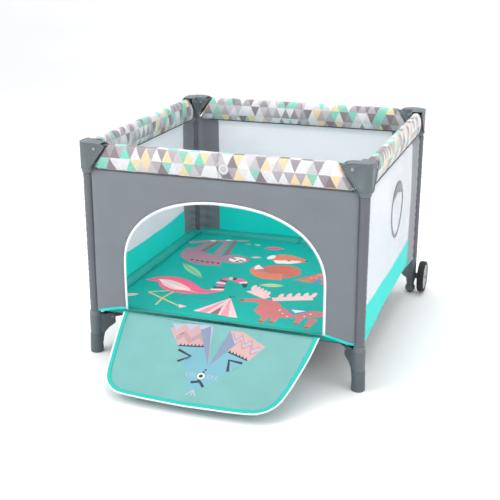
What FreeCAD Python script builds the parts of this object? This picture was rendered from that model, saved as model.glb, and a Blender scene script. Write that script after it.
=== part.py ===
"""Square folding playpen with a hinged arch door, as a parametric document.

Frame: origin on the floor under the pen's centre, +X to the right, +Y to the rear, +Z up; the door
is on the -Y side.  The four corners are built in a corner frame whose origin is the leg's axis on
the floor, with +X and +Y running inwards along the two rails, and are turned by quarter turns.
"""
import FreeCAD, Part
import Sketcher
import os

doc = FreeCAD.newDocument("playpen")
V = FreeCAD.Vector

# alias, value in mm or degrees, meaning
DIMENSIONS = [
    ("leg_offset", 470, "pen centre to a leg's axis, along X and along Y"),
    ("leg_radius", 11, "outer radius of a leg tube"),
    ("tube_wall", 1.4, "wall of the steel tubes"),
    ("leg_top", 744, "height of the leg tube's upper end"),
    ("socket_gap", 0.2, "radial room between a tube and its plastic socket"),
    ("boot_height", 68, "height of a front boot"),
    ("boot_radius", 21, "radius of a front boot"),
    ("boot_flare", 23, "radius of a boot's sole"),
    ("boot_sole", 14, "thickness under the leg tube in a boot"),
    ("bracket_top", 138, "top of the foot brackets"),
    ("bracket_radius", 20, "radius of the bracket's ring round the leg"),
    ("gusset_reach", 68, "leg axis to the gusset's tip, along the diagonal"),
    ("clevis_inner", 9.5, "half gap between two clevis plates"),
    ("clevis_plate", 4, "thickness of a clevis plate"),
    ("neck_radius", 12, "radius of the rear foot's neck"),
    ("ball_radius", 20, "radius of the rear foot's ball"),
    ("connector_top", 753, "top of the corner connectors"),
    ("connector_base", 662, "lower edge of the corner connectors"),
    ("connector_radius", 22, "radius of the connector round the leg"),
    ("ear_reach", 73, "leg axis to the ear's tip"),
    ("ear_tip", 740, "height where the ear's slanted edge begins"),
    ("ear_heel", 18, "leg axis to the ear's lower end"),
    ("ear_width", 44, "outside width of an ear"),
    ("ear_wall", 2.5, "wall of the connector"),
    ("rail_inset", 38, "leg axis to the half rail's pivot"),
    ("rail_level", 734, "height of the half rails' pivots"),
    ("rail_width", 14, "width of a half rail"),
    ("rail_depth", 22, "height of a half rail's section"),
    ("latch_inset", 46, "middle of a side to the latch's pivot"),
    ("latch_reach", 60, "half length of a latch housing"),
    ("latch_width", 24, "width of a latch housing"),
    ("latch_bottom", 712, "lower face of a latch housing"),
    ("latch_floor", 721, "floor of the latch's channel"),
    ("latch_rim", 741, "upper edge of a latch housing"),
    ("button_radius", 9, "radius of a latch button's cap"),
    ("stem_radius", 4, "radius of a latch button's stem"),
    ("button_bottom", 702, "lower face of a latch button"),
    ("pin_radius", 3, "radius of the pivot pins"),
    ("pin_gap", 0.08, "radial running clearance round the pins"),
    ("cover_bottom", 660, "lower edge of the rail covers"),
    ("cover_top", 750, "upper edge of the rail covers"),
    ("cover_width", 38, "thickness of a rail cover"),
    ("cover_heel", 31, "leg axis to the cover's lower corner"),
    ("cover_shoulder", 79, "leg axis to the cover's upper corner"),
    ("strut_level", 125, "height of the floor struts"),
    ("strut_radius", 8, "radius of a strut"),
    ("strut_inset", 56, "leg axis to the strut's pivot, along the diagonal"),
    ("hub_radius", 38, "radius of the hub"),
    ("hub_bottom", 106, "lower face of the hub"),
    ("hub_top", 140, "upper face of the hub"),
    ("hub_foot_radius", 28, "radius of the centre foot's sole"),
    ("floor_level", 142, "lower face of the floor cloth"),
    ("cloth", 3, "thickness of the fabric walls"),
    ("floor_half", 450, "half width of the floor cloth"),
    ("mat_bottom", 148, "lower face of the mat"),
    ("mat_top", 171, "upper face of the mat"),
    ("mat_half", 446, "half width of the mat"),
    ("wall_face", 485, "pen centre to a wall's inner face"),
    ("wall_bottom", 160, "lower hem of the walls"),
    ("wall_top", 638, "top of the walls, under the connectors"),
    ("arch_half", 350, "half width of the door opening"),
    ("arch_sill", 182, "sill of the door opening"),
    ("arch_spring", 345, "height where the arch's sides begin to curve"),
    ("arch_rise", 233, "height of the curved part"),
    ("flap_face", 491, "pen centre to the flap's hinge line"),
    ("flap_level", 176, "height of the flap's hinge line"),
    ("flap_half", 344, "half width of the door flap"),
    ("flap_spring", 165, "hinge line to where the flap's sides begin to curve"),
    ("flap_rise", 225, "length of the flap's curved end"),
    ("flap_cloth", 4, "thickness of the door flap"),
    ("flap_slope", 24, "slope of the open flap below the level, degrees"),
    ("wheel_radius", 62.5, "radius of a wheel"),
    ("rim_radius", 48, "radius of a wheel's rim"),
    ("wheel_width", 26, "width of a wheel"),
    ("wheel_out", 45, "leg axis to the wheel's middle, sideways"),
    ("wheel_back", 12, "leg axis to the axle, rearwards"),
    ("axle_level", 67, "height of the axle"),
    ("axle_radius", 4, "radius of the axle bolts"),
]

sheet = doc.addObject("Spreadsheet::Sheet", "Dims")
for row, (alias, value, meaning) in enumerate(DIMENSIONS, 1):
    sheet.set(f"A{row}", meaning)
    sheet.set(f"B{row}", str(value))
    sheet.setAlias(f"B{row}", alias)
doc.recompute()

RAIL_LENGTH = "(Dims.leg_offset - Dims.rail_inset - Dims.latch_inset)"
STRUT_LENGTH = f"({RAIL_LENGTH} * sqrt(2))"
HUB_PIVOT = "((Dims.rail_inset + Dims.latch_inset) * sqrt(2) - Dims.strut_inset)"
SOCKET = "(Dims.leg_radius + Dims.socket_gap)"
PIN_HOLE = "(Dims.pin_radius + Dims.pin_gap)"
PLATE_OUT = "(Dims.clevis_inner + Dims.clevis_plate)"
AXIS_X = ((0, 1, 0), 90)
AXIS_Y = ((1, 0, 0), -90)
CORNERS = ["front_left", "front_right", "rear_right", "rear_left"]
SIDES = ["front", "right", "rear", "left"]
nodes = []


def bind(thing, place=("0", "0", "0"), **sizes):
    """Bind a thing's sizes and its place to expressions over the sheet."""
    for prop, expression in sizes.items():
        thing.setExpression(prop, expression)
    for letter, expression in zip("xyz", place):
        thing.setExpression(f"Placement.Base.{letter}", expression)
    return thing


def turned(thing, axis, angle):
    """Turn a thing about one of its own axes."""
    thing.Placement = FreeCAD.Placement(V(), FreeCAD.Rotation(V(*axis), angle))
    return thing


def box(place, size):
    """A box from its low corner and its three sides."""
    length, width, height = size
    return bind(doc.addObject("Part::Box", "block"), place, Length=length, Width=width, Height=height)


def rod(place, radius, height, along=None):
    """A cylinder standing on its place, or lying along AXIS_X or AXIS_Y."""
    thing = doc.addObject("Part::Cylinder", "rod")
    if along:
        turned(thing, *along)
    return bind(thing, place, Radius=radius, Height=height)


def cone(place, low, high, height):
    """An upright cone frustum."""
    return bind(doc.addObject("Part::Cone", "cone"), place, Radius1=low, Radius2=high, Height=height)


def fuse(*things):
    """Join things; ones that stay apart remain separate solids."""
    result = doc.addObject("Part::MultiFuse", "fusion")
    result.Shapes = list(things)
    return result


def group(thing):
    """Wrap a thing, so that it can be turned about the group's own origin."""
    result = doc.addObject("Part::Compound", "group")
    result.Links = [thing]
    return result


def cut(base, *tools):
    """Cut one or more tools out of a base."""
    result = doc.addObject("Part::Cut", "cut")
    result.Base = base
    result.Tool = tools[0] if len(tools) == 1 else fuse(*tools)
    return result


def common(*things):
    """What things share."""
    result = doc.addObject("Part::MultiCommon", "common")
    result.Shapes = list(things)
    return result


def outline(body, role, points):
    """A closed straight-sided sketch whose corners are bound to expressions."""
    sketch = body.newObject("Sketcher::SketchObject", "outline")
    plane = next(plane for plane in body.Origin.OriginFeatures if plane.Role == role)
    sketch.AttachmentSupport = [(plane, "")]
    sketch.MapMode = "FlatFace"
    corners = [V(*(float(sheet.evalExpression(value)) for value in point), 0) for point in points]
    for index, corner in enumerate(corners):
        after = corners[(index + 1) % len(corners)]
        sketch.addGeometry(Part.LineSegment(corner, after), False)
    for index, corner in enumerate(corners):
        sketch.addConstraint(Sketcher.Constraint("Coincident", index, 2, (index + 1) % len(corners), 1))
        for kind, axis, value, place in (("DistanceX", -2, points[index][0], corner.x),
                                         ("DistanceY", -1, points[index][1], corner.y)):
            if value == "0":
                sketch.addConstraint(Sketcher.Constraint("PointOnObject", index, 1, axis))
                continue
            number = sketch.addConstraint(Sketcher.Constraint(kind, -1, 1, index, 1, place))
            sketch.setExpression(f"Constraints[{number}]", value)
    return sketch


def circle(body, radius, level):
    """A circle about the body's upright axis, on a plane at a level."""
    sketch = body.newObject("Sketcher::SketchObject", "circle")
    plane = next(plane for plane in body.Origin.OriginFeatures if plane.Role == "XY_Plane")
    sketch.AttachmentSupport = [(plane, "")]
    sketch.MapMode = "FlatFace"
    sketch.setExpression("AttachmentOffset.Base.z", level)
    size = float(sheet.evalExpression(radius))
    sketch.addGeometry(Part.Circle(V(), V(0, 0, 1), size), False)
    sketch.addConstraint(Sketcher.Constraint("Coincident", 0, 3, -1, 1))
    number = sketch.addConstraint(Sketcher.Constraint("Radius", 0, size))
    sketch.setExpression(f"Constraints[{number}]", radius)
    return sketch


def feature(body, kind, sketch, length, side="Symmetric"):
    """A Pad or Pocket of a sketch."""
    result = body.newObject(f"PartDesign::{kind}", kind.lower())
    result.Profile = sketch
    result.setExpression("Length", length)
    result.SideType = side
    return result


def plate(role, points, thickness):
    """A PartDesign body padded both ways from one outline."""
    body = doc.addObject("PartDesign::Body", "plate")
    feature(body, "Pad", outline(body, role, points), thickness)
    return body


def node(name, thing):
    """Name a finished sub-part."""
    thing.Label = name
    nodes.append(thing)
    return thing


def at_corner(thing, corner, extra=0):
    """Move a thing from the corner frame to one of the four corners."""
    turned(thing, (0, 0, 1), 90 * corner + extra)
    side_x = "-Dims.leg_offset" if corner in (0, 3) else "Dims.leg_offset"
    side_y = "-Dims.leg_offset" if corner in (0, 1) else "Dims.leg_offset"
    return bind(thing, (side_x, side_y, "0"))


def connector():
    """The plastic corner: a skirt round the leg and two hollow ears, open below, for the rails."""
    body = doc.addObject("PartDesign::Body", "connector")
    height = "Dims.connector_top - Dims.connector_base"
    feature(body, "Pad", circle(body, "Dims.connector_radius", "Dims.connector_base"), height, "One side")
    ear = [("0", "Dims.connector_base"), ("Dims.ear_heel - 8", "Dims.connector_base"),
           ("Dims.ear_heel", "Dims.connector_base + 9"), ("Dims.ear_reach", "Dims.ear_tip"),
           ("Dims.ear_reach", "Dims.ear_tip + 4"), ("Dims.ear_reach - 12", "Dims.connector_top - 3"),
           ("Dims.ear_reach - 28", "Dims.connector_top"), ("0", "Dims.connector_top")]
    channel = [("Dims.connector_radius", "Dims.connector_base - 10"),
               ("Dims.ear_reach + 10", "Dims.connector_base - 10"),
               ("Dims.ear_reach + 10", "Dims.connector_top - Dims.ear_wall"),
               ("Dims.connector_radius", "Dims.connector_top - Dims.ear_wall")]
    for role in ("XZ_Plane", "YZ_Plane"):
        feature(body, "Pad", outline(body, role, ear), "Dims.ear_width")
    for role in ("XZ_Plane", "YZ_Plane"):
        feature(body, "Pocket", outline(body, role, channel), "Dims.ear_width - 2 * Dims.ear_wall")
    bore = rod(("0", "0", "Dims.connector_base - 1"), SOCKET, "Dims.leg_top - Dims.connector_base + 2")
    width = "Dims.ear_width + 10"
    pin_x = rod(("Dims.rail_inset", "-Dims.ear_width / 2 - 5", "Dims.rail_level"), PIN_HOLE, width, AXIS_Y)
    pin_y = rod(("-Dims.ear_width / 2 - 5", "Dims.rail_inset", "Dims.rail_level"), PIN_HOLE, width, AXIS_X)
    return cut(body, bore, pin_x, pin_y)


def gusset():
    """Two clevis plates along the diagonal, with a concave lower edge, joined by the leg's ring."""
    edge = [("10", "Dims.boot_height + 0.3"), ("Dims.boot_flare + 4", "Dims.boot_height + 0.3"),
            ("Dims.boot_flare + 9", "Dims.boot_height + 7"), ("Dims.gusset_reach - 25", "Dims.bracket_top - 52"),
            ("Dims.gusset_reach - 7", "Dims.bracket_top - 43"), ("Dims.gusset_reach", "Dims.bracket_top - 37"),
            ("Dims.gusset_reach - 1", "Dims.bracket_top"), ("10", "Dims.bracket_top")]
    whole = plate("XZ_Plane", edge, f"2 * {PLATE_OUT}")
    slot = box(("Dims.bracket_radius + 8", "-Dims.clevis_inner", "0"),
               ("Dims.gusset_reach", "2 * Dims.clevis_inner", "Dims.bracket_top + 10"))
    hole = rod(("Dims.strut_inset", "-Dims.gusset_reach", "Dims.strut_level"), PIN_HOLE,
               "2 * Dims.gusset_reach", AXIS_Y)
    return turned(cut(whole, slot, hole), (0, 0, 1), 45)


def bracket():
    """The foot bracket: a ring round the leg and the strut's clevis."""
    ring = rod(("0", "0", "Dims.boot_height + 0.3"), "Dims.bracket_radius",
               "Dims.bracket_top - Dims.boot_height - 0.3")
    return fuse(ring, gusset())


def front_bracket():
    """A front bracket is open below, where the boot follows."""
    return cut(bracket(), rod(("0", "0", "0"), SOCKET, "Dims.bracket_top + 10"))


def boss_place(swap, out):
    """A point on the wheel's axle, sideways of the leg; the left wheel's frame is the mirror image."""
    return ("-Dims.wheel_back", out, "Dims.axle_level") if swap else (out, "-Dims.wheel_back", "Dims.axle_level")


def rear_bracket(swap):
    """A rear bracket carries a tapered neck with a ball foot, and the axle's boss."""
    neck = cone(("0", "0", "Dims.ball_radius"), "Dims.neck_radius", "Dims.bracket_radius",
                "Dims.boot_height + 1 - Dims.ball_radius")
    ball = bind(doc.addObject("Part::Sphere", "ball"), ("0", "0", "Dims.ball_radius - 1"),
                Radius="Dims.ball_radius")
    ground = box(("-50", "-50", "-10"), ("100", "100", "10"))
    boss = rod(boss_place(swap, "-Dims.wheel_out + Dims.wheel_width / 2 + 2"), "Dims.axle_radius * 3",
               "Dims.wheel_out - Dims.wheel_width / 2 - 2", AXIS_Y if swap else AXIS_X)
    bolt = rod(boss_place(swap, "-Dims.wheel_out"), "Dims.axle_radius + 0.1",
               "Dims.wheel_out - 4", AXIS_Y if swap else AXIS_X)
    socket = rod(("0", "0", "Dims.boot_height + 8"), SOCKET, "Dims.bracket_top")
    return cut(fuse(bracket(), neck, ball, boss), ground, socket, bolt)


def boot():
    """A round boot with a flared sole, blind below the tube, and a web that meets the bracket's."""
    shaft = cone(("0", "0", "8"), "Dims.boot_flare", "Dims.boot_radius", "Dims.boot_height - 8")
    sole = cone(("0", "0", "0"), "Dims.boot_flare - 2", "Dims.boot_flare", "8")
    web = plate("XZ_Plane", [("5", "Dims.boot_height - 30"), ("Dims.boot_radius", "Dims.boot_height - 30"),
                             ("Dims.boot_flare", "Dims.boot_height - 13"),
                             ("Dims.boot_flare + 4", "Dims.boot_height"), ("5", "Dims.boot_height")],
                f"2 * {PLATE_OUT}")
    return cut(fuse(shaft, sole, turned(web, (0, 0, 1), 45)),
               rod(("0", "0", "Dims.boot_sole"), SOCKET, "Dims.boot_height"))


def leg_tube(bottom):
    """A steel leg tube."""
    outer = rod(("0", "0", bottom), "Dims.leg_radius", f"Dims.leg_top - {bottom}")
    inner = rod(("0", "0", f"{bottom} - 1"), "Dims.leg_radius - Dims.tube_wall", f"Dims.leg_top - {bottom} + 2")
    return cut(outer, inner)


def headed_pin(place, half, along):
    """A pin centred on its place, with a round head at each end."""
    index = 0 if along is AXIS_X else 1
    ends = []
    for shift, radius, length in ((f"-{half}", "Dims.pin_radius", f"2 * {half}"),
                                  (f"-{half} - 2.5", "Dims.pin_radius + 2.5", "2.4"),
                                  (f"{half} + 0.1", "Dims.pin_radius + 2.5", "2.4")):
        start = list(place)
        start[index] = f"{place[index]} + {shift}"
        ends.append(rod(start, radius, length, along))
    neck = list(place)
    neck[index] = f"{place[index]} - {half} - 0.2"
    ends.append(rod(neck, "Dims.pin_radius", f"2 * {half} + 0.4", along))
    return fuse(*ends)


def fasteners(rear, swap):
    """The corner's rail pins, strut pin and rivet, and at the rear the axle bolt."""
    ear = "(Dims.ear_width / 2)"
    rail_pins = [headed_pin(("Dims.rail_inset", "0", "Dims.rail_level"), ear, AXIS_Y),
                 headed_pin(("0", "Dims.rail_inset", "Dims.rail_level"), ear, AXIS_X)]
    strut_pin = headed_pin(("Dims.strut_inset", "0", "Dims.strut_level"), PLATE_OUT, AXIS_Y)
    pieces = rail_pins + [turned(group(strut_pin), (0, 0, 1), 45)]
    if rear:
        along = AXIS_Y if swap else AXIS_X
        shank = rod(boss_place(swap, "-Dims.wheel_out - Dims.wheel_width / 2 - 1"), "Dims.axle_radius",
                    "Dims.wheel_out + Dims.wheel_width / 2 - 12", along)
        head = rod(boss_place(swap, "-Dims.wheel_out - Dims.wheel_width / 2 - 4"), "2 * Dims.axle_radius",
                   "3.2", along)
        pieces.append(fuse(shank, head))
    return fuse(*pieces)


def rail():
    """A half rail: a flat-sided tube with round, drilled ends."""
    half = "Dims.rail_width / 2"
    ends = ["Dims.rail_inset", f"Dims.rail_inset + {RAIL_LENGTH}"]
    low = "Dims.rail_level - Dims.rail_depth / 2"
    bar = box((ends[0], f"-{half}", low), (RAIL_LENGTH, "Dims.rail_width", "Dims.rail_depth"))
    caps = [rod((end, f"-{half}", "Dims.rail_level"), "Dims.rail_depth / 2", "Dims.rail_width", AXIS_Y)
            for end in ends]
    holes = [rod((end, f"-{half} - 1", "Dims.rail_level"), PIN_HOLE, "Dims.rail_width + 2", AXIS_Y)
             for end in ends]
    inside = box((f"{ends[0]} + Dims.rail_depth", f"-{half} + Dims.tube_wall", f"{low} + Dims.tube_wall"),
                 (f"{RAIL_LENGTH} - 2 * Dims.rail_depth", "Dims.rail_width - 2 * Dims.tube_wall",
                  "Dims.rail_depth - 2 * Dims.tube_wall"))
    return cut(fuse(bar, *caps), inside, *holes)


def rail_cover():
    """Half of a side's padded cover, hollow for the half rail and for half of the latch."""
    seam = "Dims.leg_offset - 0.3"
    pad = plate("XZ_Plane", [("Dims.cover_heel", "Dims.cover_bottom"), (seam, "Dims.cover_bottom"),
                             (seam, "Dims.cover_top"), ("Dims.cover_shoulder", "Dims.cover_top")],
                "Dims.cover_width")
    room = box(("0", "-Dims.rail_width / 2 - 2", "Dims.rail_level - Dims.rail_depth / 2 - 3"),
               ("Dims.leg_offset + 5", "Dims.rail_width + 4", "Dims.rail_depth + 5"))
    latch_room = box(("Dims.leg_offset - Dims.latch_reach - 4", "-Dims.latch_width / 2 - 2",
                      "Dims.button_bottom - 2"),
                     ("Dims.latch_reach + 10", "Dims.latch_width + 4",
                      "Dims.latch_rim + 4 - Dims.button_bottom"))
    return cut(pad, room, latch_room)


def latch_housing():
    """The middle latch: a channel open above, with both rail pins and a guide for the button."""
    half = "Dims.latch_width / 2"
    shell = box(("-Dims.latch_reach", f"-{half}", "Dims.latch_bottom"),
                ("2 * Dims.latch_reach", "Dims.latch_width", "Dims.latch_rim - Dims.latch_bottom"))
    gap = "Dims.rail_width / 2 + 0.6"
    channels = [box((start, f"-({gap})", "Dims.latch_floor"),
                    ("Dims.latch_reach - Dims.latch_inset + Dims.rail_depth / 2 + 3", f"2 * ({gap})", "40"))
                for start in ("-Dims.latch_reach - 1", "Dims.latch_inset - Dims.rail_depth / 2 - 2")]
    guide = rod(("0", "0", "Dims.button_bottom"), "Dims.stem_radius + 0.2", "80")
    pins = [rod((place, f"-{half}", "Dims.rail_level"), "Dims.pin_radius", "Dims.latch_width", AXIS_Y)
            for place in ("-Dims.latch_inset", "Dims.latch_inset")]
    return fuse(cut(shell, guide, *channels), *pins)


def latch_button():
    """The release button: a cap below the housing, and its stem."""
    cap = rod(("0", "0", "Dims.button_bottom"), "Dims.button_radius", "5")
    stem = rod(("0", "0", "Dims.button_bottom + 4"), "Dims.stem_radius", "22")
    return fuse(cap, stem)


def strut():
    """A floor strut along the diagonal, with drilled ends."""
    ends = ["Dims.strut_inset", f"Dims.strut_inset + {STRUT_LENGTH}"]
    tube = rod((ends[0], "0", "Dims.strut_level"), "Dims.strut_radius", STRUT_LENGTH, AXIS_X)
    caps = [rod((end, "-Dims.strut_radius + 1", "Dims.strut_level"), "Dims.strut_radius - 0.5",
                "2 * Dims.strut_radius - 2", AXIS_Y) for end in ends]
    holes = [rod((end, "-Dims.strut_radius - 1", "Dims.strut_level"), PIN_HOLE,
                 "2 * Dims.strut_radius + 2", AXIS_Y) for end in ends]
    inside = rod((f"{ends[0]} + 20", "0", "Dims.strut_level"), "Dims.strut_radius - Dims.tube_wall",
                 f"{STRUT_LENGTH} - 40", AXIS_X)
    return cut(fuse(tube, *caps), inside, *holes)


def hub():
    """The floor hub: a drum with a clevis and a pin towards each corner."""
    drum = rod(("0", "0", "Dims.hub_bottom"), "Dims.hub_radius", "Dims.hub_top - Dims.hub_bottom")
    pieces = [drum]
    for quarter in range(4):
        for start in (f"-{PLATE_OUT}", "Dims.clevis_inner"):
            arm = box(("Dims.hub_radius - 8", start, "Dims.strut_level - 11"),
                      (f"{HUB_PIVOT} + 10 - Dims.hub_radius + 8", "Dims.clevis_plate",
                       "Dims.hub_top - Dims.strut_level + 11"))
            pieces.append(turned(group(arm), (0, 0, 1), 45 + 90 * quarter))
        pin = rod((HUB_PIVOT, f"-{PLATE_OUT}", "Dims.strut_level"), "Dims.pin_radius", f"2 * {PLATE_OUT}", AXIS_Y)
        pieces.append(turned(group(pin), (0, 0, 1), 45 + 90 * quarter))
    return fuse(*pieces)


def pull_strap():
    """A flat webbing loop, held on the hub, that lifts the hub to fold the pen."""
    band = box(("-80", "-12", "Dims.floor_level + Dims.cloth + 0.3"), ("160", "24", "2"))
    root = box(("-12", "-12", "Dims.hub_top + 0.3"), ("24", "24", "Dims.floor_level + Dims.cloth - Dims.hub_top + 1"))
    return fuse(band, root)


def arch_prism(half, spring, rise, low, thickness):
    """An arch's outline as a slab in the XY plane: straight sides, then half an ellipse."""
    ellipse = bind(doc.addObject("Part::Ellipse", "ellipse"), ("0", spring, "0"),
                   MajorRadius=half, MinorRadius=rise)
    slab = doc.addObject("Part::Extrusion", "slab")
    slab.Base = ellipse
    slab.DirMode = "Custom"
    slab.Dir = V(0, 0, 1)
    slab.Solid = True
    slab.setExpression("LengthFwd", thickness)
    upper = box((f"-{half}", spring, "-1"), (f"2 * {half}", f"{rise} + 1", f"{thickness} + 2"))
    lower = box((f"-{half}", low, "0"), (f"2 * {half}", f"{spring} - {low} + 0.01", thickness))
    return fuse(common(slab, upper), lower)


def front_panel():
    """The front cloth with its arched doorway."""
    outer = "(Dims.wall_face + Dims.cloth)"
    sheet_box = box((f"-{outer}", f"-{outer}", "Dims.wall_bottom"),
                    (f"2 * {outer}", "Dims.cloth", "Dims.wall_top - Dims.wall_bottom"))
    doorway = turned(arch_prism("Dims.arch_half", "Dims.arch_spring", "Dims.arch_rise",
                                "Dims.arch_sill", "Dims.cloth + 10"), (1, 0, 0), 90)
    bind(doorway, ("0", "-Dims.wall_face + 5", "0"))
    return cut(sheet_box, doorway)


def door_flap():
    """The door flap, hanging out from the sill at its slope."""
    slab = arch_prism("Dims.flap_half", "Dims.flap_spring", "Dims.flap_rise", "4", "Dims.flap_cloth")
    bind(slab, ("0", "0", "-Dims.flap_cloth / 2"))
    flap = turned(group(slab), (1, 0, 0), 180)
    bind(flap, ("0", "-Dims.flap_face", "Dims.flap_level"))
    flap.setExpression("Placement.Rotation.Angle", "180 + Dims.flap_slope")
    return flap


def wheel(name, side):
    """A wheel on its axle: a tyre round a rim."""
    middle = f"{side} * (Dims.leg_offset + Dims.wheel_out) - Dims.wheel_width / 2"
    place = (middle, "Dims.leg_offset + Dims.wheel_back", "Dims.axle_level")
    disc = rod(place, "Dims.wheel_radius", "Dims.wheel_width", AXIS_X)
    seat = rod((f"{middle} - 1",) + place[1:], "Dims.rim_radius + 0.05", "Dims.wheel_width + 2", AXIS_X)
    node(f"tyre_{name}", cut(disc, seat))
    web = rod((f"{middle} + 1",) + place[1:], "Dims.rim_radius", "Dims.wheel_width - 2", AXIS_X)
    bore = rod((f"{middle} - 1",) + place[1:], "Dims.axle_radius + Dims.pin_gap", "Dims.wheel_width + 2", AXIS_X)
    node(f"rim_{name}", cut(web, bore))


for index, corner in enumerate(CORNERS):
    rear = corner.startswith("rear")
    swap = corner == "rear_left"
    node(f"leg_tube_{corner}", at_corner(leg_tube("(Dims.boot_height + 9)" if rear else "Dims.boot_sole"), index))
    node(f"corner_connector_{corner}", at_corner(connector(), index))
    node(f"foot_bracket_{corner}", at_corner(rear_bracket(swap) if rear else front_bracket(), index))
    node(f"leg_fasteners_{corner}", at_corner(fasteners(rear, swap), index))
    if not rear:
        node(f"foot_boot_{corner}", at_corner(boot(), index))
    node(f"strut_{corner}", at_corner(strut(), index, 45))
    front_rear, left_right = corner.split("_")
    own_side = SIDES[index]
    last_side = SIDES[index - 1]
    for side, extra in ((own_side, 0), (last_side, 90)):
        end = left_right if side in ("front", "rear") else front_rear
        node(f"rail_{side}_{end}", at_corner(rail(), index, extra))
        node(f"rail_cover_{side}_{end}", at_corner(rail_cover(), index, extra))

side_centres = [("0", "-Dims.leg_offset"), ("Dims.leg_offset", "0"), ("0", "Dims.leg_offset"), ("-Dims.leg_offset", "0")]
for index, side in enumerate(SIDES):
    for name, thing in (("latch_housing", latch_housing()), ("latch_button", latch_button())):
        turned(thing, (0, 0, 1), 90 * index)
        node(f"{name}_{side}", bind(thing, side_centres[index] + ("0",)))

node("hub", hub())
node("hub_foot", cone(("0", "0", "0"), "Dims.hub_foot_radius", "Dims.hub_foot_radius - 6",
                      "Dims.hub_bottom - 0.2"))
node("pull_strap", pull_strap())
floor = box(("-Dims.floor_half", "-Dims.floor_half", "Dims.floor_level"),
            ("2 * Dims.floor_half", "2 * Dims.floor_half", "Dims.cloth"))
node("floor_panel", cut(floor, rod(("0", "0", "0"), "Dims.hub_radius + 8", "Dims.mat_bottom")))
node("mat", box(("-Dims.mat_half", "-Dims.mat_half", "Dims.mat_bottom"),
                ("2 * Dims.mat_half", "2 * Dims.mat_half", "Dims.mat_top - Dims.mat_bottom")))
node("front_panel", front_panel())
wall_size = ("Dims.cloth", "2 * Dims.wall_face + Dims.cloth - 0.5", "Dims.wall_top - Dims.wall_bottom")
wall_start = "-Dims.wall_face + 0.5"
node("left_wall", box(("-Dims.wall_face - Dims.cloth", wall_start, "Dims.wall_bottom"), wall_size))
node("right_wall", box(("Dims.wall_face", wall_start, "Dims.wall_bottom"), wall_size))
node("rear_wall", box(("-Dims.wall_face + 0.5", "Dims.wall_face", "Dims.wall_bottom"),
                      ("2 * Dims.wall_face - 1", "Dims.cloth", "Dims.wall_top - Dims.wall_bottom")))
node("door_flap", door_flap())
wheel("left", -1)
wheel("right", 1)

doc.recompute()
faults = [f"{thing.Name} ({thing.Label}): {thing.State}" for thing in doc.Objects
          if "Invalid" in thing.State or "Error" in thing.State]
faults += [f"{thing.Label}: no valid shape" for thing in nodes
           if thing.Shape.isNull() or not thing.Shape.isValid() or not thing.Shape.Solids]
if faults:
    raise RuntimeError("; ".join(faults))

os.makedirs("parts", exist_ok=True)
for thing in nodes:
    thing.Shape.exportStep(f"parts/{thing.Label}.step")
    print(f"{thing.Label}: {len(thing.Shape.Solids)} solids, {thing.Shape.Volume / 1000:.1f} cm3")
print(len(nodes), "nodes")
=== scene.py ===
"""The playpen's looks: cloth, padding, net, prints and moulded parts round its jointed frame."""
import math

import bmesh
import bpy
from bpy.props import FloatProperty, FloatVectorProperty, IntProperty, PointerProperty
from mathutils import Matrix, Vector, noise
from mathutils.geometry import delaunay_2d_cdt


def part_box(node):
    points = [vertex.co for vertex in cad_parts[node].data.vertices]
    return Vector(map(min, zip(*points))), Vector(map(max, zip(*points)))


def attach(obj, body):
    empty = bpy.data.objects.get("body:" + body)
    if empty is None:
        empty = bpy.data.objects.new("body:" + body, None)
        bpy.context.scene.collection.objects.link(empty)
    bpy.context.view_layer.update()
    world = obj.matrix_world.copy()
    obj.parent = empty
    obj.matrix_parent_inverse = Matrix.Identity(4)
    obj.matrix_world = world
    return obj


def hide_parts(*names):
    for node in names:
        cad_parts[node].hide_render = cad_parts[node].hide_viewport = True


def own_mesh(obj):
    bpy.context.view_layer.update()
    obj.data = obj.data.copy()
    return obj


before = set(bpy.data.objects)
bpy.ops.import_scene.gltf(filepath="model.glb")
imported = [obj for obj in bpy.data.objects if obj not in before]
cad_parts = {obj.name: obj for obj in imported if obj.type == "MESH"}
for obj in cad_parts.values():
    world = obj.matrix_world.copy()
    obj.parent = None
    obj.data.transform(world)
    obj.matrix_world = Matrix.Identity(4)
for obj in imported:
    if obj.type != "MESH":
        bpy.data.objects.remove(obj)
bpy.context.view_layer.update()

bl_info = {
    "name": "Playpen looks",
    "version": (1, 0, 0),
    "blender": (4, 5, 0),
    "location": "3D View > Sidebar > Playpen",
    "description": "Builds the cloth, padding, prints and finishes of a folding playpen",
    "category": "Object",
}

CORNERS = {"front_left": (-1, -1), "front_right": (1, -1), "rear_right": (1, 1), "rear_left": (-1, 1)}
# side: its outward direction, the leg whose body carries its wall
SIDES = {"front": ((0, -1), "front_left"), "right": ((1, 0), "front_right"),
         "rear": ((0, 1), "rear_left"), "left": ((-1, 0), "front_left")}
LEG = (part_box("leg_tube_front_right")[0][0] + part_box("leg_tube_front_right")[1][0]) / 2
MAT_LOW, MAT_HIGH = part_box("mat")
COVER_LOW, COVER_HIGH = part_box("rail_cover_front_left")
COVER_HALF = (COVER_HIGH[1] - COVER_LOW[1]) / 2 - 0.0003
CONNECTOR_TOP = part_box("corner_connector_front_left")[1][2]
EAR_HALF = COVER_HALF + 0.0031
WALL_FACE = -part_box("front_panel")[0][1]
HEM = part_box("front_panel")[0][2]
FLAP_HINGE = (-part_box("door_flap")[1][1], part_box("door_flap")[1][2])


def colour(name, default, description):
    return FloatVectorProperty(name=name, description=description, default=default, subtype="COLOR",
                               size=3, min=0.0, max=1.0)


def length(name, default, description):
    return FloatProperty(name=name, description=description, default=default, unit="LENGTH", min=0.0)


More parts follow.
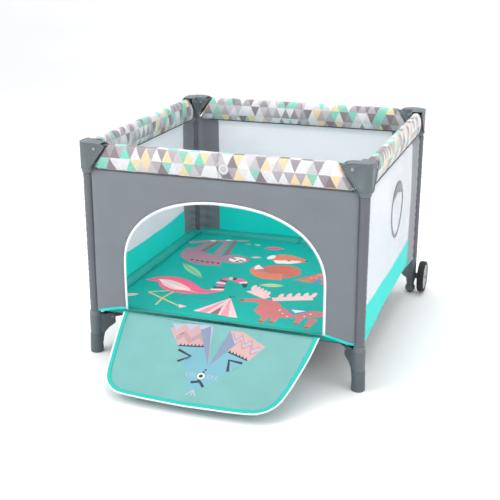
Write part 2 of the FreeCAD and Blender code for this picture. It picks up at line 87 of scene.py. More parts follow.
class PLAYPEN_PG_colours(bpy.types.PropertyGroup):
    """Colours of the cloth, prints and plastics."""
    front_cloth: colour("Front cloth", (0.172, 0.193, 0.213), "Grey cloth of the door side")
    sleeve_cloth: colour("Sleeve cloth", (0.125, 0.130, 0.150), "Darker cloth round the legs")
    corner_cloth: colour("Corner cloth", (0.225, 0.232, 0.255), "Grey cloth beside the net")
    net: colour("Net", (0.84, 0.855, 0.91), "White net of the walls")
    teal: colour("Teal", (0.0, 0.56, 0.50), "Band under the net and the bindings")
    binding: colour("Binding", (0.0, 0.47, 0.40), "Tape round the flap")
    mat_teal: colour("Mat", (0.0, 0.385, 0.33), "Ground of the mat's print")
    mint: colour("Mint", (0.158, 0.385, 0.372), "Ground of the flap's print")
    zip_white: colour("Zip", (0.85, 0.87, 0.90), "Zip tape and piping")
    plastic: colour("Plastic", (0.105, 0.130, 0.142), "Moulded corners and brackets")
    boot: colour("Boot", (0.085, 0.108, 0.120), "Moulded boots")
    steel: colour("Steel", (0.10, 0.105, 0.115), "Coated tubes")
    piping: colour("Piping", (0.07, 0.07, 0.08), "Edge of the rail covers")


class PLAYPEN_PG_sizes(bpy.types.PropertyGroup):
    """Sizes of the soft parts."""
    sleeve_radius: length("Sleeve radius", 0.0148, "Cloth sleeve round a leg tube")
    corner_width: length("Corner cloth", 0.105, "Leg axis to the net's edge")
    right_strip: length("Right strip", 0.170, "Leg axis to the net's edge at the right wall's rear")
    sleeve_slack: length("Sleeve slack", 0.0045, "Extra radius of the looser sleeve at the rear right")
    band_height: length("Teal band", 0.285, "Height of the band's upper edge at the middle of a wall")
    hem_rise: length("Hem rise", 0.028, "How far the hem rises between the legs")
    triangle_width: length("Triangle width", 0.037, "Base of a printed triangle")
    triangle_height: length("Triangle height", 0.042, "Height of a printed triangle")
    arch_half: length("Doorway", 0.350, "Half width of the arched doorway")
    arch_shift: length("Doorway shift", 0.009, "How far the doorway sits to the right of the middle")
    arch_sill: length("Sill", 0.182, "Height of the doorway's sill")
    arch_spring: length("Spring", 0.345, "Height where the doorway's sides begin to curve")
    arch_rise: length("Rise", 0.243, "Height of the doorway's curved part")
    zip_pitch: length("Zip pitch", 0.004, "Distance from one zip tooth to the next")
    tread_blocks: IntProperty(name="Tread blocks", description="Blocks round a tyre", default=48, min=8)


# ---------------------------------------------------------------- finishes

class Finish:
    """A node material: a Principled shader and the pattern nodes that feed it."""

    def __init__(self, name, base, roughness, **inputs):
        self.material = bpy.data.materials.new(name)
        self.material.use_nodes = True
        self.tree = self.material.node_tree
        self.shader = self.tree.nodes["Principled BSDF"]
        self.set(Base_Color=(*base, 1.0), Roughness=roughness, **inputs)
        self.base = (*base, 1.0)
        self.place = self.tree.nodes.new("ShaderNodeTexCoord")

    def set(self, **inputs):
        """Set or link the shader's own sockets."""
        for name, value in inputs.items():
            self.feed(self.shader.inputs[name.replace("_", " ")], value)

    def feed(self, socket, value):
        if isinstance(value, bpy.types.NodeSocket):
            self.tree.links.new(value, socket)
        else:
            socket.default_value = value

    def node(self, kind, inputs=None, **settings):
        """Add a node, with its settings and its inputs by name or number."""
        made = self.tree.nodes.new("ShaderNode" + kind)
        for key, value in settings.items():
            setattr(made, key, value)
        for key, value in (inputs or {}).items():
            self.feed(made.inputs[key], value)
        return made

    def math(self, operation, *values):
        return self.node("Math", dict(enumerate(values)), operation=operation).outputs[0]

    def noise(self, scale, detail=3.0, where=None, stretch=None):
        where = where or self.place.outputs["Object"]
        if stretch:
            where = self.node("Mapping", {"Vector": where, "Scale": stretch}).outputs[0]
        return self.node("TexNoise", {"Vector": where, "Scale": scale, "Detail": detail}).outputs["Fac"]

    def spread(self, value, low, high, to_low, to_high):
        """Map a value from one range to another, clamped."""
        return self.node("MapRange", {0: value, 1: low, 2: high, 3: to_low, 4: to_high}).outputs[0]

    def mix(self, factor, first, second, blend="MIX"):
        return self.node("Mix", {0: factor, 6: first, 7: second}, data_type="RGBA",
                         blend_type=blend).outputs[2]

    def shade(self, factor, amount, colour_in=None):
        """Darken and lighten a colour a little with a 0-1 pattern."""
        low, high = 1.0 - amount, 1.0 + amount
        value = self.spread(factor, 0.3, 0.7, low, high)
        grey = self.node("CombineColor", {0: value, 1: value, 2: value}).outputs[0]
        return self.mix(1.0, colour_in or self.base, grey, "MULTIPLY")

    def bump(self, height, strength, distance=0.001, under=None):
        inputs = {"Height": height, "Strength": strength, "Distance": distance}
        if under:
            inputs["Normal"] = under
        return self.node("Bump", inputs).outputs[0]

    def uv(self):
        return self.place.outputs["UV"]


def weave_height(finish, pitch, where):
    """Plain weave: crossing sine ridges at a thread pitch, in UV metres."""
    parts = finish.node("SeparateXYZ", {0: where}).outputs
    waves = [finish.math("SINE", finish.math("MULTIPLY", parts[axis], 2 * math.pi / pitch))
             for axis in (0, 1)]
    return finish.math("MULTIPLY", waves[0], waves[1])


def cloth_finish(name, base, roughness=0.75, pitch=0.0011, sheen=0.25, crease=0.35, painted_glow=0.0, gloss=0.5,
                 print_name=None):
    """Woven cloth with soft creases; a painted glow in its own colour stands in for light shining through
    thin cloth, a printed one takes its mesh's colours.
    """
    # Emission in the cloth's own colour is painted light: a glow that stands in for light shining through the
    # thin cloth.
    finish = Finish(name, base, roughness, Sheen_Weight=sheen, Sheen_Roughness=0.4, Specular_IOR_Level=gloss,
                    Emission_Color=(*base, 1.0), Emission_Strength=painted_glow)
    ground = None
    if print_name:
        ground = finish.node("Attribute", attribute_name=print_name).outputs["Color"]
    fibre = finish.noise(420.0, 2.0)
    soft = finish.noise(9.0, 4.0)
    tinted = finish.shade(soft, 0.05, ground)
    finish.set(Base_Color=finish.shade(fibre, 0.05, tinted))
    finish.set(Roughness=finish.spread(soft, 0.3, 0.7, roughness - 0.06, roughness + 0.06))
    creases = finish.bump(finish.noise(16.0, 5.0, stretch=(1.0, 1.0, 0.6)), crease, 0.004)
    finish.set(Normal=finish.bump(weave_height(finish, pitch, finish.uv()), 0.25, 0.0003, creases))
    return finish.material


def net_finish(name, base, pitch=0.0026):
    """Fine net: round holes in a hexagonal row pattern, in UV metres."""
    finish = Finish(name, base, 0.7, Sheen_Weight=0.3)
    parts = finish.node("SeparateXYZ", {0: finish.uv()}).outputs
    turn = 2 * math.pi / pitch
    along = finish.math("SINE", finish.math("MULTIPLY", parts[0], turn))
    up = finish.math("SINE", finish.math("MULTIPLY", parts[1], turn))
    holes = finish.math("MULTIPLY", along, up)
    thread = finish.spread(finish.math("ABSOLUTE", holes), 0.30, 0.55, 1.0, 0.0)
    finish.set(Alpha=finish.spread(thread, 0.0, 1.0, 0.30, 0.95))
    finish.set(Base_Color=finish.shade(finish.noise(6.0, 3.0), 0.03))
    finish.set(Normal=finish.bump(thread, 0.2, 0.0004))
    return finish.material


def plastic_finish(name, base, roughness=0.42, grain=1500.0):
    """Moulded plastic: fine spark grain, faint mottling, edges rubbed a little lighter."""
    finish = Finish(name, base, roughness, Specular_IOR_Level=0.45)
    mottle = finish.noise(28.0, 3.0)
    worn = finish.node("NewGeometry").outputs["Pointiness"]
    rubbed = finish.spread(worn, 0.52, 0.60, 0.0, 0.35)
    lighter = tuple(min(1.0, channel * 1.9 + 0.03) for channel in base) + (1.0,)
    finish.set(Base_Color=finish.mix(rubbed, finish.shade(mottle, 0.06), lighter))
    finish.set(Roughness=finish.spread(mottle, 0.3, 0.7, roughness - 0.06, roughness + 0.08))
    finish.set(Normal=finish.bump(finish.noise(grain, 2.0), 0.12, 0.0003))
    return finish.material


def steel_finish(name, base, roughness=0.38):
    """Coated steel: slight orange peel and dust."""
    finish = Finish(name, base, roughness, Metallic=0.35, Coat_Weight=0.3, Coat_Roughness=0.25)
    dust = finish.noise(35.0, 4.0)
    finish.set(Base_Color=finish.shade(dust, 0.10))
    finish.set(Roughness=finish.spread(dust, 0.3, 0.7, roughness - 0.05, roughness + 0.12))
    finish.set(Normal=finish.bump(finish.noise(600.0, 2.0), 0.10, 0.0003))
    return finish.material


def rubber_finish(name, base):
    """Tyre rubber with a dusty bloom."""
    finish = Finish(name, base, 0.62)
    bloom = finish.noise(60.0, 5.0)
    finish.set(Base_Color=finish.shade(bloom, 0.35))
    finish.set(Roughness=finish.spread(bloom, 0.3, 0.7, 0.5, 0.75))
    finish.set(Normal=finish.bump(finish.noise(900.0, 2.0), 0.3, 0.0004))
    return finish.material


PRINT_STOPS = [
    (0.00, (0.72, 0.72, 0.75)), (0.17, (0.235, 0.20, 0.215)), (0.29, (0.19, 0.61, 0.475)),
    (0.34, (0.78, 0.60, 0.37)), (0.38, (0.55, 0.53, 0.56)), (0.50, (0.40, 0.37, 0.395)),
    (0.61, (0.78, 0.60, 0.37)), (0.69, (0.31, 0.28, 0.30)), (0.80, (0.68, 0.67, 0.69)),
    (0.93, (0.25, 0.61, 0.50)),
]


def triangle_print_finish(name, sizes):
    """Padded cover cloth printed with rows of small triangles, some of them streaked or hatched."""
    finish = Finish(name, (0.5, 0.5, 0.5), 0.7, Sheen_Weight=0.3, Sheen_Roughness=0.4)
    parts = finish.node("SeparateXYZ", {0: finish.uv()}).outputs
    across = finish.math("DIVIDE", parts[0], sizes.triangle_width)
    up = finish.math("DIVIDE", finish.math("SUBTRACT", parts[1], 0.012), sizes.triangle_height)
    row = finish.math("FLOOR", up)
    rise = finish.math("FRACT", up)
    shift = finish.math("MULTIPLY", row, 0.5)
    half = finish.math("MULTIPLY", rise, 0.5)
    even = finish.math("ADD", across, shift)
    right = finish.math("FLOOR", finish.math("ADD", even, half))
    left = finish.math("FLOOR", finish.math("SUBTRACT", even, half))
    which = finish.node("CombineXYZ", {0: right, 1: left, 2: row}).outputs[0]
    chance = finish.node("TexWhiteNoise", {"Vector": which}, noise_dimensions="3D")
    pointing = finish.math("SUBTRACT", right, left)
    pick = finish.math("MULTIPLY", finish.math("ADD", chance.outputs["Value"], pointing), 0.5)
    ramp = finish.node("ValToRGB", {0: pick})
    ramp.color_ramp.interpolation = "CONSTANT"
    for index, (stop, tone) in enumerate(PRINT_STOPS):
        element = ramp.color_ramp.elements[index] if index < 2 else ramp.color_ramp.elements.new(stop)
        element.position = stop
        element.color = (*tone, 1.0)
    second = finish.node("SeparateColor", {0: chance.outputs["Color"]}).outputs
    streak = finish.noise(90.0, 4.0, finish.uv(), (1.0, 9.0, 1.0))
    linen = finish.noise(90.0, 4.0, finish.uv(), (9.0, 1.0, 1.0))
    marks = finish.mix(finish.math("GREATER_THAN", second[1], 0.5),
                       finish.spread(streak, 0.35, 0.65, 0.74, 1.14),
                       finish.spread(linen, 0.35, 0.65, 0.82, 1.12))
    worked = finish.mix(finish.math("GREATER_THAN", second[2], 0.35), (1, 1, 1, 1), marks)
    tone = finish.mix(1.0, ramp.outputs[0], worked, "MULTIPLY")
    hatch = finish.math("SINE", finish.math("MULTIPLY", finish.math("ADD", up,
                                                                    finish.math("PINGPONG", across, 0.25)),
                                            2 * math.pi * 5))
    hatched = finish.math("MULTIPLY", finish.math("GREATER_THAN", hatch, 0.55),
                          finish.math("GREATER_THAN", second[0], 0.84))
    tone = finish.mix(finish.math("MULTIPLY", hatched, 0.6), tone, (0.30, 0.27, 0.26, 1))
    finish.set(Base_Color=finish.shade(finish.noise(420.0, 2.0), 0.05, tone))
    pucker = finish.bump(finish.noise(22.0, 4.0), 0.35, 0.004)
    finish.set(Normal=finish.bump(weave_height(finish, 0.0011, finish.uv()), 0.2, 0.0003, pucker))
    return finish.material


MATERIALS = {}


def build_materials(colours, sizes):
    """Every finish of the object, by its plain name."""
    MATERIALS.update({
        "front_cloth": cloth_finish("front_cloth", colours.front_cloth),
        "sleeve_cloth": cloth_finish("sleeve_cloth", colours.sleeve_cloth, crease=0.6),
        "corner_cloth": cloth_finish("corner_cloth", colours.corner_cloth, crease=0.6),
        "net": net_finish("wall_net", colours.net),
        # The teal band's emission is a painted glow standing in for light shining through the thin cloth.
        "teal": cloth_finish("teal_cloth", colours.teal, 0.6, sheen=0.04, painted_glow=0.27),
        "binding": cloth_finish("binding_tape", colours.binding, 0.7, sheen=0.04),
        "mat": cloth_finish("mat_print", colours.mat_teal, 0.5, sheen=0.0, crease=0.3, gloss=0.22,
                            print_name="print"),
        "flap": cloth_finish("flap_print", colours.mint, 0.45, sheen=0.0, crease=0.25, gloss=0.3,
                             print_name="print"),
        "rim_cloth": cloth_finish("rim_cloth", colours.mat_teal, 0.5, sheen=0.1),
        "zip": cloth_finish("zip_tape", colours.zip_white, 0.6),
        "patch": cloth_finish("patch_cloth", (0.50, 0.48, 0.53), 0.7),
        "teeth": plastic_finish("zip_teeth", (0.75, 0.77, 0.80), 0.35),
        "floor": cloth_finish("floor_cloth", (0.03, 0.032, 0.036), 0.8),
        "webbing": cloth_finish("webbing", (0.02, 0.021, 0.024), 0.7, 0.002),
        "piping": cloth_finish("piping", colours.piping, 0.7),
        "cover": triangle_print_finish("cover_print", sizes),
        "plastic": plastic_finish("moulded_grey", colours.plastic),
        "boot": plastic_finish("moulded_boot", colours.boot, 0.5),
        "button": plastic_finish("moulded_white", (0.72, 0.73, 0.75), 0.35),
        "rim": plastic_finish("moulded_rim", (0.42, 0.44, 0.46), 0.4),
        "steel": steel_finish("coated_steel", colours.steel),
        "rivet": steel_finish("rivet_steel", (0.30, 0.31, 0.33), 0.3),
        "tyre": rubber_finish("tyre_rubber", (0.012, 0.012, 0.013)),
    })


# ---------------------------------------------------------------- mesh tools

def piece(name, points, faces, materials, slots=None, uvs=None, smooth=True):
    """A mesh object from points and faces; slots and uvs are given per face and per point."""
    mesh = bpy.data.meshes.new(name)
    mesh.from_pydata([tuple(point) for point in points], [], faces)
    obj = bpy.data.objects.new(name, mesh)
    bpy.context.scene.collection.objects.link(obj)
    for material in materials:
        mesh.materials.append(MATERIALS[material])
    if slots:
        mesh.polygons.foreach_set("material_index", slots)
    if uvs:
        layer = mesh.uv_layers.new(name="cloth")
        for loop in mesh.loops:
            layer.data[loop.index].uv = uvs[loop.vertex_index]
    mesh.polygons.foreach_set("use_smooth", [smooth] * len(mesh.polygons))
    mesh.update()
    return obj


def apply_modifiers(obj):
    """Turn an object's modifiers into its mesh."""
    evaluated = obj.evaluated_get(bpy.context.evaluated_depsgraph_get())
    mesh = bpy.data.meshes.new_from_object(evaluated)
    obj.modifiers.clear()
    old = obj.data
    obj.data = mesh
    bpy.data.meshes.remove(old)
    return obj


def thicken(obj, thickness, offset=0.0):
    """Give a cloth sheet its thickness."""
    solid = obj.modifiers.new("thickness", "SOLIDIFY")
    solid.thickness = thickness
    solid.offset = offset
    return apply_modifiers(obj)


def face_outwards(obj):
    """Point a closed mesh's faces outwards."""
    work = bmesh.new()
    work.from_mesh(obj.data)
    bmesh.ops.remove_doubles(work, verts=work.verts, dist=1e-6)
    bmesh.ops.recalc_face_normals(work, faces=work.faces)
    work.to_mesh(obj.data)
    work.free()
    return obj


def join(name, objects):
    """Join objects into one, keeping their material slots."""
    bpy.ops.object.select_all(action="DESELECT")
    for obj in objects:
        obj.select_set(True)
    bpy.context.view_layer.objects.active = objects[0]
    bpy.ops.object.join()
    objects[0].name = name
    objects[0].data.name = name
    return objects[0]


def grid_faces(columns, rows, wrap=False):
    """Quads of a grid stored row by row."""
    faces = []
    across = columns if wrap else columns - 1
    for row in range(rows - 1):
        for column in range(across):
            after = (column + 1) % columns
            faces.append((row * columns + column, row * columns + after,
                          (row + 1) * columns + after, (row + 1) * columns + column))
    return faces


def stops(values, step):
    """Values with the gaps between them divided into even steps no longer than a step."""
    result = [values[0]]
    for low, high in zip(values, values[1:]):
        count = max(1, math.ceil(abs(high - low) / step))
        result += [low + (high - low) * index / count for index in range(1, count + 1)]
    return result


def smooth(low, high, value):
    """A smooth step from 0 to 1."""
    share = min(1.0, max(0.0, (value - low) / (high - low)))
    return share * share * (3 - 2 * share)


def ripple(x, y, z, scale, seed=0.0):
    """Seeded smooth noise, -1 to 1."""
    return noise.noise(Vector((x * scale + seed, y * scale - seed, z * scale + 2 * seed)))


def tube(name, path, radius, material, sides=10, closed=False, flat=1.0):
    """A round or flattened tube along a path of points, capped unless it is closed."""
    points, faces = [], []
    count = len(path)
    for index, centre in enumerate(path):
        before = path[index - 1] if index or closed else centre
        after = path[(index + 1) % count] if index < count - 1 or closed else centre
        run = (Vector(after) - Vector(before)).normalized()
        side = run.cross(Vector((0, 0, 1)))
        if side.length < 0.05:
            side = run.cross(Vector((0, 1, 0)))
        side.normalize()
        up = side.cross(run)
        for turn in range(sides):
            angle = 2 * math.pi * turn / sides
            points.append(Vector(centre) + side * radius * flat * math.cos(angle)
                          + up * radius * math.sin(angle))
    faces += grid_faces(sides, count, wrap=True)
    if closed:
        last = (count - 1) * sides
        faces += [(last + turn, last + (turn + 1) % sides, (turn + 1) % sides, turn) for turn in range(sides)]
    else:
        faces += [tuple(range(sides)), tuple(range(count * sides - 1, (count - 1) * sides - 1, -1))]
    return face_outwards(piece(name, points, faces, [material]))


def lathe(name, profile, centre, axis, material, sides=64):
    """Turn a profile of (radius, distance along the axis) into a closed ring or solid."""
    axis = Vector(axis).normalized()
    side = axis.orthogonal().normalized()
    up = axis.cross(side)
    points = []
    for radius, along in profile:
        for turn in range(sides):
            angle = 2 * math.pi * turn / sides
            points.append(Vector(centre) + axis * along
                          + (side * math.cos(angle) + up * math.sin(angle)) * max(radius, 1e-6))
    faces = grid_faces(sides, len(profile), wrap=True)
    last = (len(profile) - 1) * sides
    faces += [(last + turn, last + (turn + 1) % sides, (turn + 1) % sides, turn) for turn in range(sides)]
    made = face_outwards(piece(name, points, faces, [material]))
    return shade_by_angle(made)


def shade_by_angle(obj, degrees=38):
    """Smooth shading that keeps sharp edges."""
    work = bmesh.new()
    work.from_mesh(obj.data)
    for face in work.faces:
        face.smooth = True
    for edge in work.edges:
        edge.smooth = len(edge.link_faces) == 2 and edge.calc_face_angle(0.0) < math.radians(degrees)
    work.to_mesh(obj.data)
    work.free()
    return obj


def rounded_copy(node, name, material, bevel):
    """A CAD node's shape with softened edges, as a piece of its own."""
    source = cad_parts[node]
    mesh = source.data.copy()
    made = bpy.data.objects.new(name, mesh)
    bpy.context.scene.collection.objects.link(made)
    mesh.materials.clear()
    mesh.materials.append(MATERIALS[material])
    work = bmesh.new()
    work.from_mesh(mesh)
    bmesh.ops.remove_doubles(work, verts=work.verts, dist=2e-5)
    bmesh.ops.dissolve_limit(work, angle_limit=math.radians(1.0), verts=work.verts, edges=work.edges)
    bmesh.ops.recalc_face_normals(work, faces=work.faces)
    work.to_mesh(mesh)
    work.free()
    soften = made.modifiers.new("soft edges", "BEVEL")
    soften.width = bevel
    soften.segments = 3
    soften.limit_method = "ANGLE"
    soften.angle_limit = math.radians(32)
    soften.use_clamp_overlap = True
    apply_modifiers(made)
    return shade_by_angle(made, 30)


def node_tree(name, inputs):
    """A Geometry Nodes tree with named inputs; returns the tree and its group nodes."""
    tree = bpy.data.node_groups.new(name, "GeometryNodeTree")
    tree.interface.new_socket("Geometry", in_out="INPUT", socket_type="NodeSocketGeometry")
    for label, kind in inputs:
        tree.interface.new_socket(label, in_out="INPUT", socket_type=kind)
    tree.interface.new_socket("Geometry", in_out="OUTPUT", socket_type="NodeSocketGeometry")
    return tree, tree.nodes.new("NodeGroupInput"), tree.nodes.new("NodeGroupOutput")


def repeat_tree():
    """Boxes set along a path at a pitch: zip teeth, stitches and tread blocks."""
    tree, source, sink = node_tree("boxes_along_path", [
        ("Pitch", "NodeSocketFloat"), ("Size", "NodeSocketVector"), ("Material", "NodeSocketMaterial")])
    def add(kind, **settings):
        made = tree.nodes.new("GeometryNode" + kind)
        for key, value in settings.items():
            setattr(made, key, value)
        return made
    curve = add("MeshToCurve")
    spaced = add("CurveToPoints", mode="LENGTH")
    block = add("MeshCube")
    lay = add("InstanceOnPoints")
    solid = add("RealizeInstances")
    paint = add("SetMaterial")
    link = tree.links.new
    link(source.outputs["Geometry"], curve.inputs[0])
    link(curve.outputs[0], spaced.inputs["Curve"])
    link(source.outputs["Pitch"], spaced.inputs["Length"])
    link(source.outputs["Size"], block.inputs["Size"])
    link(spaced.outputs["Points"], lay.inputs["Points"])
    link(spaced.outputs["Rotation"], lay.inputs["Rotation"])
    link(block.outputs["Mesh"], lay.inputs["Instance"])
    link(lay.outputs[0], solid.inputs[0])
    link(solid.outputs[0], paint.inputs["Geometry"])
    link(source.outputs["Material"], paint.inputs["Material"])
    link(paint.outputs[0], sink.inputs[0])
    return tree


def boxes_along(name, path, pitch, size, material, closed=False):
    """Small boxes along a path, made by the repeat tree and turned to a plain mesh."""
    tree = bpy.data.node_groups.get("boxes_along_path") or repeat_tree()
    count = len(path)
    mesh = bpy.data.meshes.new(name)
    edges = [(index, (index + 1) % count) for index in range(count if closed else count - 1)]
    mesh.from_pydata([tuple(point) for point in path], edges, [])
    made = bpy.data.objects.new(name, mesh)
    bpy.context.scene.collection.objects.link(made)
    layer = made.modifiers.new("boxes", "NODES")
    layer.node_group = tree
    inputs = {item.name: item.identifier for item in tree.interface.items_tree if item.in_out == "INPUT"}
    layer[inputs["Pitch"]] = pitch
    layer[inputs["Size"]] = size
    layer[inputs["Material"]] = MATERIALS[material]
    return apply_modifiers(made)


def fold_with(obj, body):
    """Ride a soft piece on a body, with a mesh of its own."""
    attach(obj, body)
    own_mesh(obj)


# ---------------------------------------------------------------- rail covers

def cover_section(share):
    """The cover's outline at a share of the way round, from the bottom seam up the outer face."""
    angle = 2 * math.pi * share - math.pi / 2
    middle = (COVER_LOW[2] + COVER_HIGH[2]) / 2
    tall = (COVER_HIGH[2] - COVER_LOW[2]) / 2
    rise = math.sin(angle)
    wide = COVER_HALF * math.copysign(abs(math.cos(angle)) ** 0.72, math.cos(angle))
    wide *= 0.62 + 0.38 * smooth(-1.0, 0.1, rise)
    return -wide, middle + tall * math.copysign(abs(rise) ** 0.86, rise)


def rail_cover(name, corner, turn):
    """Half of a side's cover: a padded tube, slanted at the corner, with piping at both lower edges."""
    columns, rows = 48, 72
    section = [cover_section(index / columns) for index in range(columns)]
    walk = [0.0]
    for first, second in zip(section, section[1:]):
        walk.append(walk[-1] + math.dist(first, second))
    heel, shoulder = 0.0315, 0.0795
    points, uvs = [], []
    seed = 3.0 * len(name) + 7.0 * turn
    round_end = 0.007
    for row in range(rows):
        share = row / (rows - 1)
        share = share ** 1.15
        for column, (out, level) in enumerate(section):
            slant = heel + (shoulder - heel) * (level - COVER_LOW[2]) / (COVER_HIGH[2] - COVER_LOW[2])
            end = LEG - 0.0003
            along = slant + (end - slant) * share
            near = along - slant
            shrink = 1.0 - 0.16 * (1.0 - smooth(0.0, round_end, near))
            pucker = 0.0011 * ripple(along, out, level, 26.0, seed)
            pucker = pucker + 0.0007 * ripple(along, out, level, 60.0, seed)
            pucker += 0.0012 * math.sin(along * 2 * math.pi / 0.014) * (1.0 - smooth(0.0, 0.05, near))
            pucker *= smooth(0.0, 0.02, end - along)
            middle = (COVER_LOW[2] + COVER_HIGH[2]) / 2
            reach = Vector((out, level - middle))
            grown = reach * shrink + reach.normalized() * pucker
            points.append(Vector((along, grown.x, middle + grown.y)))
            uvs.append((along if turn == 0 else 2 * LEG - along, walk[column]))
    faces = grid_faces(columns, rows, wrap=True)
    faces += [tuple(range(columns)), tuple(range(rows * columns - 1, (rows - 1) * columns - 1, -1))]
    slots = [0] * len(faces)
    made = face_outwards(piece(name + "_pad", points, faces, ["cover"], slots, uvs))
    lower = section[3]
    path = [Vector((heel + 0.004 + (LEG - heel - 0.0045) * index / 40, lower[0] - 0.0015,
                    lower[1] - 0.0005))
            for index in range(41)]
    cord = tube(name + "_piping", path, 0.0026, "piping", 8)
    inner = max(section, key=lambda spot: spot[0] - spot[1])
    path = [Vector((heel + 0.034 + (LEG - heel - 0.0345) * index / 40, inner[0] + 0.0004, inner[1] - 0.0008))
            for index in range(41)]
    seam = tube(name + "_seam", path, 0.0024, "piping", 8)
    whole = join(name, [made, cord, seam])
    place_at_corner(whole, corner, turn)
    return whole


def place_at_corner(obj, corner, turn=0):
    """Move a mesh from the corner frame, where both rails run inwards along +X and +Y, to its corner."""
    index = list(CORNERS).index(corner)
    side_x, side_y = CORNERS[corner]
    mirror = Matrix.Identity(4)
    if turn:
        mirror = Matrix(((0, 1, 0, 0), (1, 0, 0, 0), (0, 0, 1, 0), (0, 0, 0, 1)))
    obj.data.transform(Matrix.Translation((side_x * LEG, side_y * LEG, 0))
                       @ Matrix.Rotation(math.pi / 2 * index, 4, "Z") @ mirror)
    if turn:
        obj.data.flip_normals()
    obj.data.update()


def rail_names():
    """Each half rail's name, its corner, and whether it runs along the corner frame's X or Y."""
    order = list(SIDES)
    for index, corner in enumerate(CORNERS):
        front_rear, left_right = corner.split("_")
        for turn, side in enumerate((order[index], order[index - 1])):
            yield f"{side}_{left_right if side in ('front', 'rear') else front_rear}", corner, turn


class PLAYPEN_OT_rail_covers(bpy.types.Operator):
    """Padded covers of the eight half rails"""
    bl_idname = "playpen.rail_covers"
    bl_label = "Rail covers"

    def execute(self, context):
        for label, corner, turn in rail_names():
            cover = rail_cover(f"cover_{label}", corner, turn)
            fold_with(cover, f"rail_{label}")
            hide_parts(f"rail_cover_{label}")
        return {"FINISHED"}


# ---------------------------------------------------------------- walls

def hem_height(along, sizes, run=0.30):
    """The hem's height: low at the legs, higher between them."""
    return HEM - 0.008 + sizes.hem_rise * min(1.0, (LEG - abs(along)) / run)


def side_point(side, along, out, level):
    """A point on a side: along it from its middle, out from the pen's centre, and up."""
    (out_x, out_y), _ = SIDES[side]
    return Vector((out_x * out - out_y * along, out_y * out + out_x * along, level))


FRONT_STRIP = 0.019  # the narrow grey strip at a side wall's front end


def wall_bulge(along, level):
    """How far the cloth stands out of its plane: corner wrinkles, slack between, drawn in at the top."""
    near_leg = 1.0 - smooth(0.0, 0.12, LEG - abs(along))
    folds = 0.0016 * math.sin(level * 2 * math.pi / 0.031 + 1.7 * math.sin(level * 23 + along * 9)) * near_leg
    folds += 0.0011 * ripple(along, level, 0.3, 30.0, 5.0) * near_leg
    slack = 0.004 * ripple(along, level, 0.0, 5.0, 11.0) * (1.0 - near_leg)
    drawn = -0.011 * smooth(0.640, 0.668, level)
    tucked = -0.014 * (1.0 - smooth(0.012, 0.034, LEG - abs(along)))
    return folds + slack + drawn + tucked


def wall(side, sizes):
    """A side wall: net over a teal band, with grey cloth at both corners and a bound hem."""
    top = COVER_LOW[2] + 0.009
    edge = LEG - 0.012
    ends = [LEG - sizes.corner_width] * 2
    if side == "right":
        ends = [LEG - FRONT_STRIP, LEG - sizes.right_strip]
    elif side == "left":
        ends = [LEG - sizes.corner_width, LEG - FRONT_STRIP]
    columns = stops([-edge, -ends[0] - 0.006, -ends[0], ends[1], ends[1] + 0.006, edge], 0.011)
    heights = stops([0.0, 0.03, 1.0, 1.04, 2.0], 0.035)
    points, uvs = [], []
    for share in heights:
        for along in columns:
            hem = hem_height(along, sizes)
            band = sizes.band_height - 0.012 * smooth(0.0, 0.4, LEG - abs(along))
            level = hem + (band - hem) * share if share <= 1.0 else band + (top - band) * (share - 1.0)
            points.append(side_point(side, along, WALL_FACE - 0.0080 + wall_bulge(along, level), level))
            uvs.append((along, level))
    faces, slots = grid_faces(len(columns), len(heights)), []
    for row in range(len(heights) - 1):
        share = (heights[row] + heights[row + 1]) / 2
        for column in range(len(columns) - 1):
            along = (columns[column] + columns[column + 1]) / 2
            inner = ends[1] if along > 0 else ends[0]
            along = abs(along)
            if along > inner + 0.006:
                slots.append(0 if share > 0.03 else 2)
            elif along > inner:
                slots.append(0)
            else:
                slots.append(2 if share < 1.0 else 1)
    made = piece(f"{side}_wall_cloth", points, faces, ["corner_cloth", "net", "teal"], slots, uvs)
    return thicken(made, 0.0009)


def wall_ring(side):
    """A plain printed ring on the net."""
    points, faces = [], []
    around = 72
    for turn in range(around):
        angle = 2 * math.pi * turn / around
        for radius in (0.090 - 0.030 * smooth(0.35, 1.0, math.sin(angle)), 0.102):
            along, level = 0.02 + radius * math.cos(angle), 0.475 + radius * math.sin(angle)
            out = WALL_FACE - 0.0063 + wall_bulge(along, level)
            points.append(side_point(side, along, out, level))
    for turn in range(around):
        after = (turn + 1) % around
        faces.append((2 * turn, 2 * turn + 1, 2 * after + 1, 2 * after))
    return thicken(piece(f"{side}_wall_ring", points, faces, ["corner_cloth"], None,
                         [(point.y, point.z) for point in points]), 0.0004, 1.0)


class PLAYPEN_OT_walls(bpy.types.Operator):
    """Net walls with teal bands and grey corners"""
    bl_idname = "playpen.walls"
    bl_label = "Net walls"

    def execute(self, context):
        sizes = context.scene.playpen_sizes
        for side in ("left", "right", "rear"):
            made = wall(side, sizes)
            if side == "right":
                made = join(made.name, [made, wall_ring(side)])
            fold_with(made, f"leg_{SIDES[side][1]}")
            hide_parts(f"{side}_wall")
        return {"FINISHED"}


# ---------------------------------------------------------------- door side

def arch_outline(sizes, inset=0.0, count=56):
    """The doorway's edge from the sill's left end, up, over and down to its right end."""
    half, rise = sizes.arch_half - inset, sizes.arch_rise - inset
    points = [(-half, sizes.arch_sill + (sizes.arch_spring - sizes.arch_sill) * step / 8)
              for step in range(8)]
    for step in range(count + 1):
        angle = math.pi * (1 - step / count)
        across = math.copysign(abs(math.cos(angle)) ** 0.90, math.cos(angle)) * half
        points.append((across, sizes.arch_spring + rise * math.sin(angle) ** 0.90))
    points += [(half, sizes.arch_sill + (sizes.arch_spring - sizes.arch_sill) * step / 8)
               for step in range(7, -1, -1)]
    return [(across + sizes.arch_shift, level) for across, level in points]


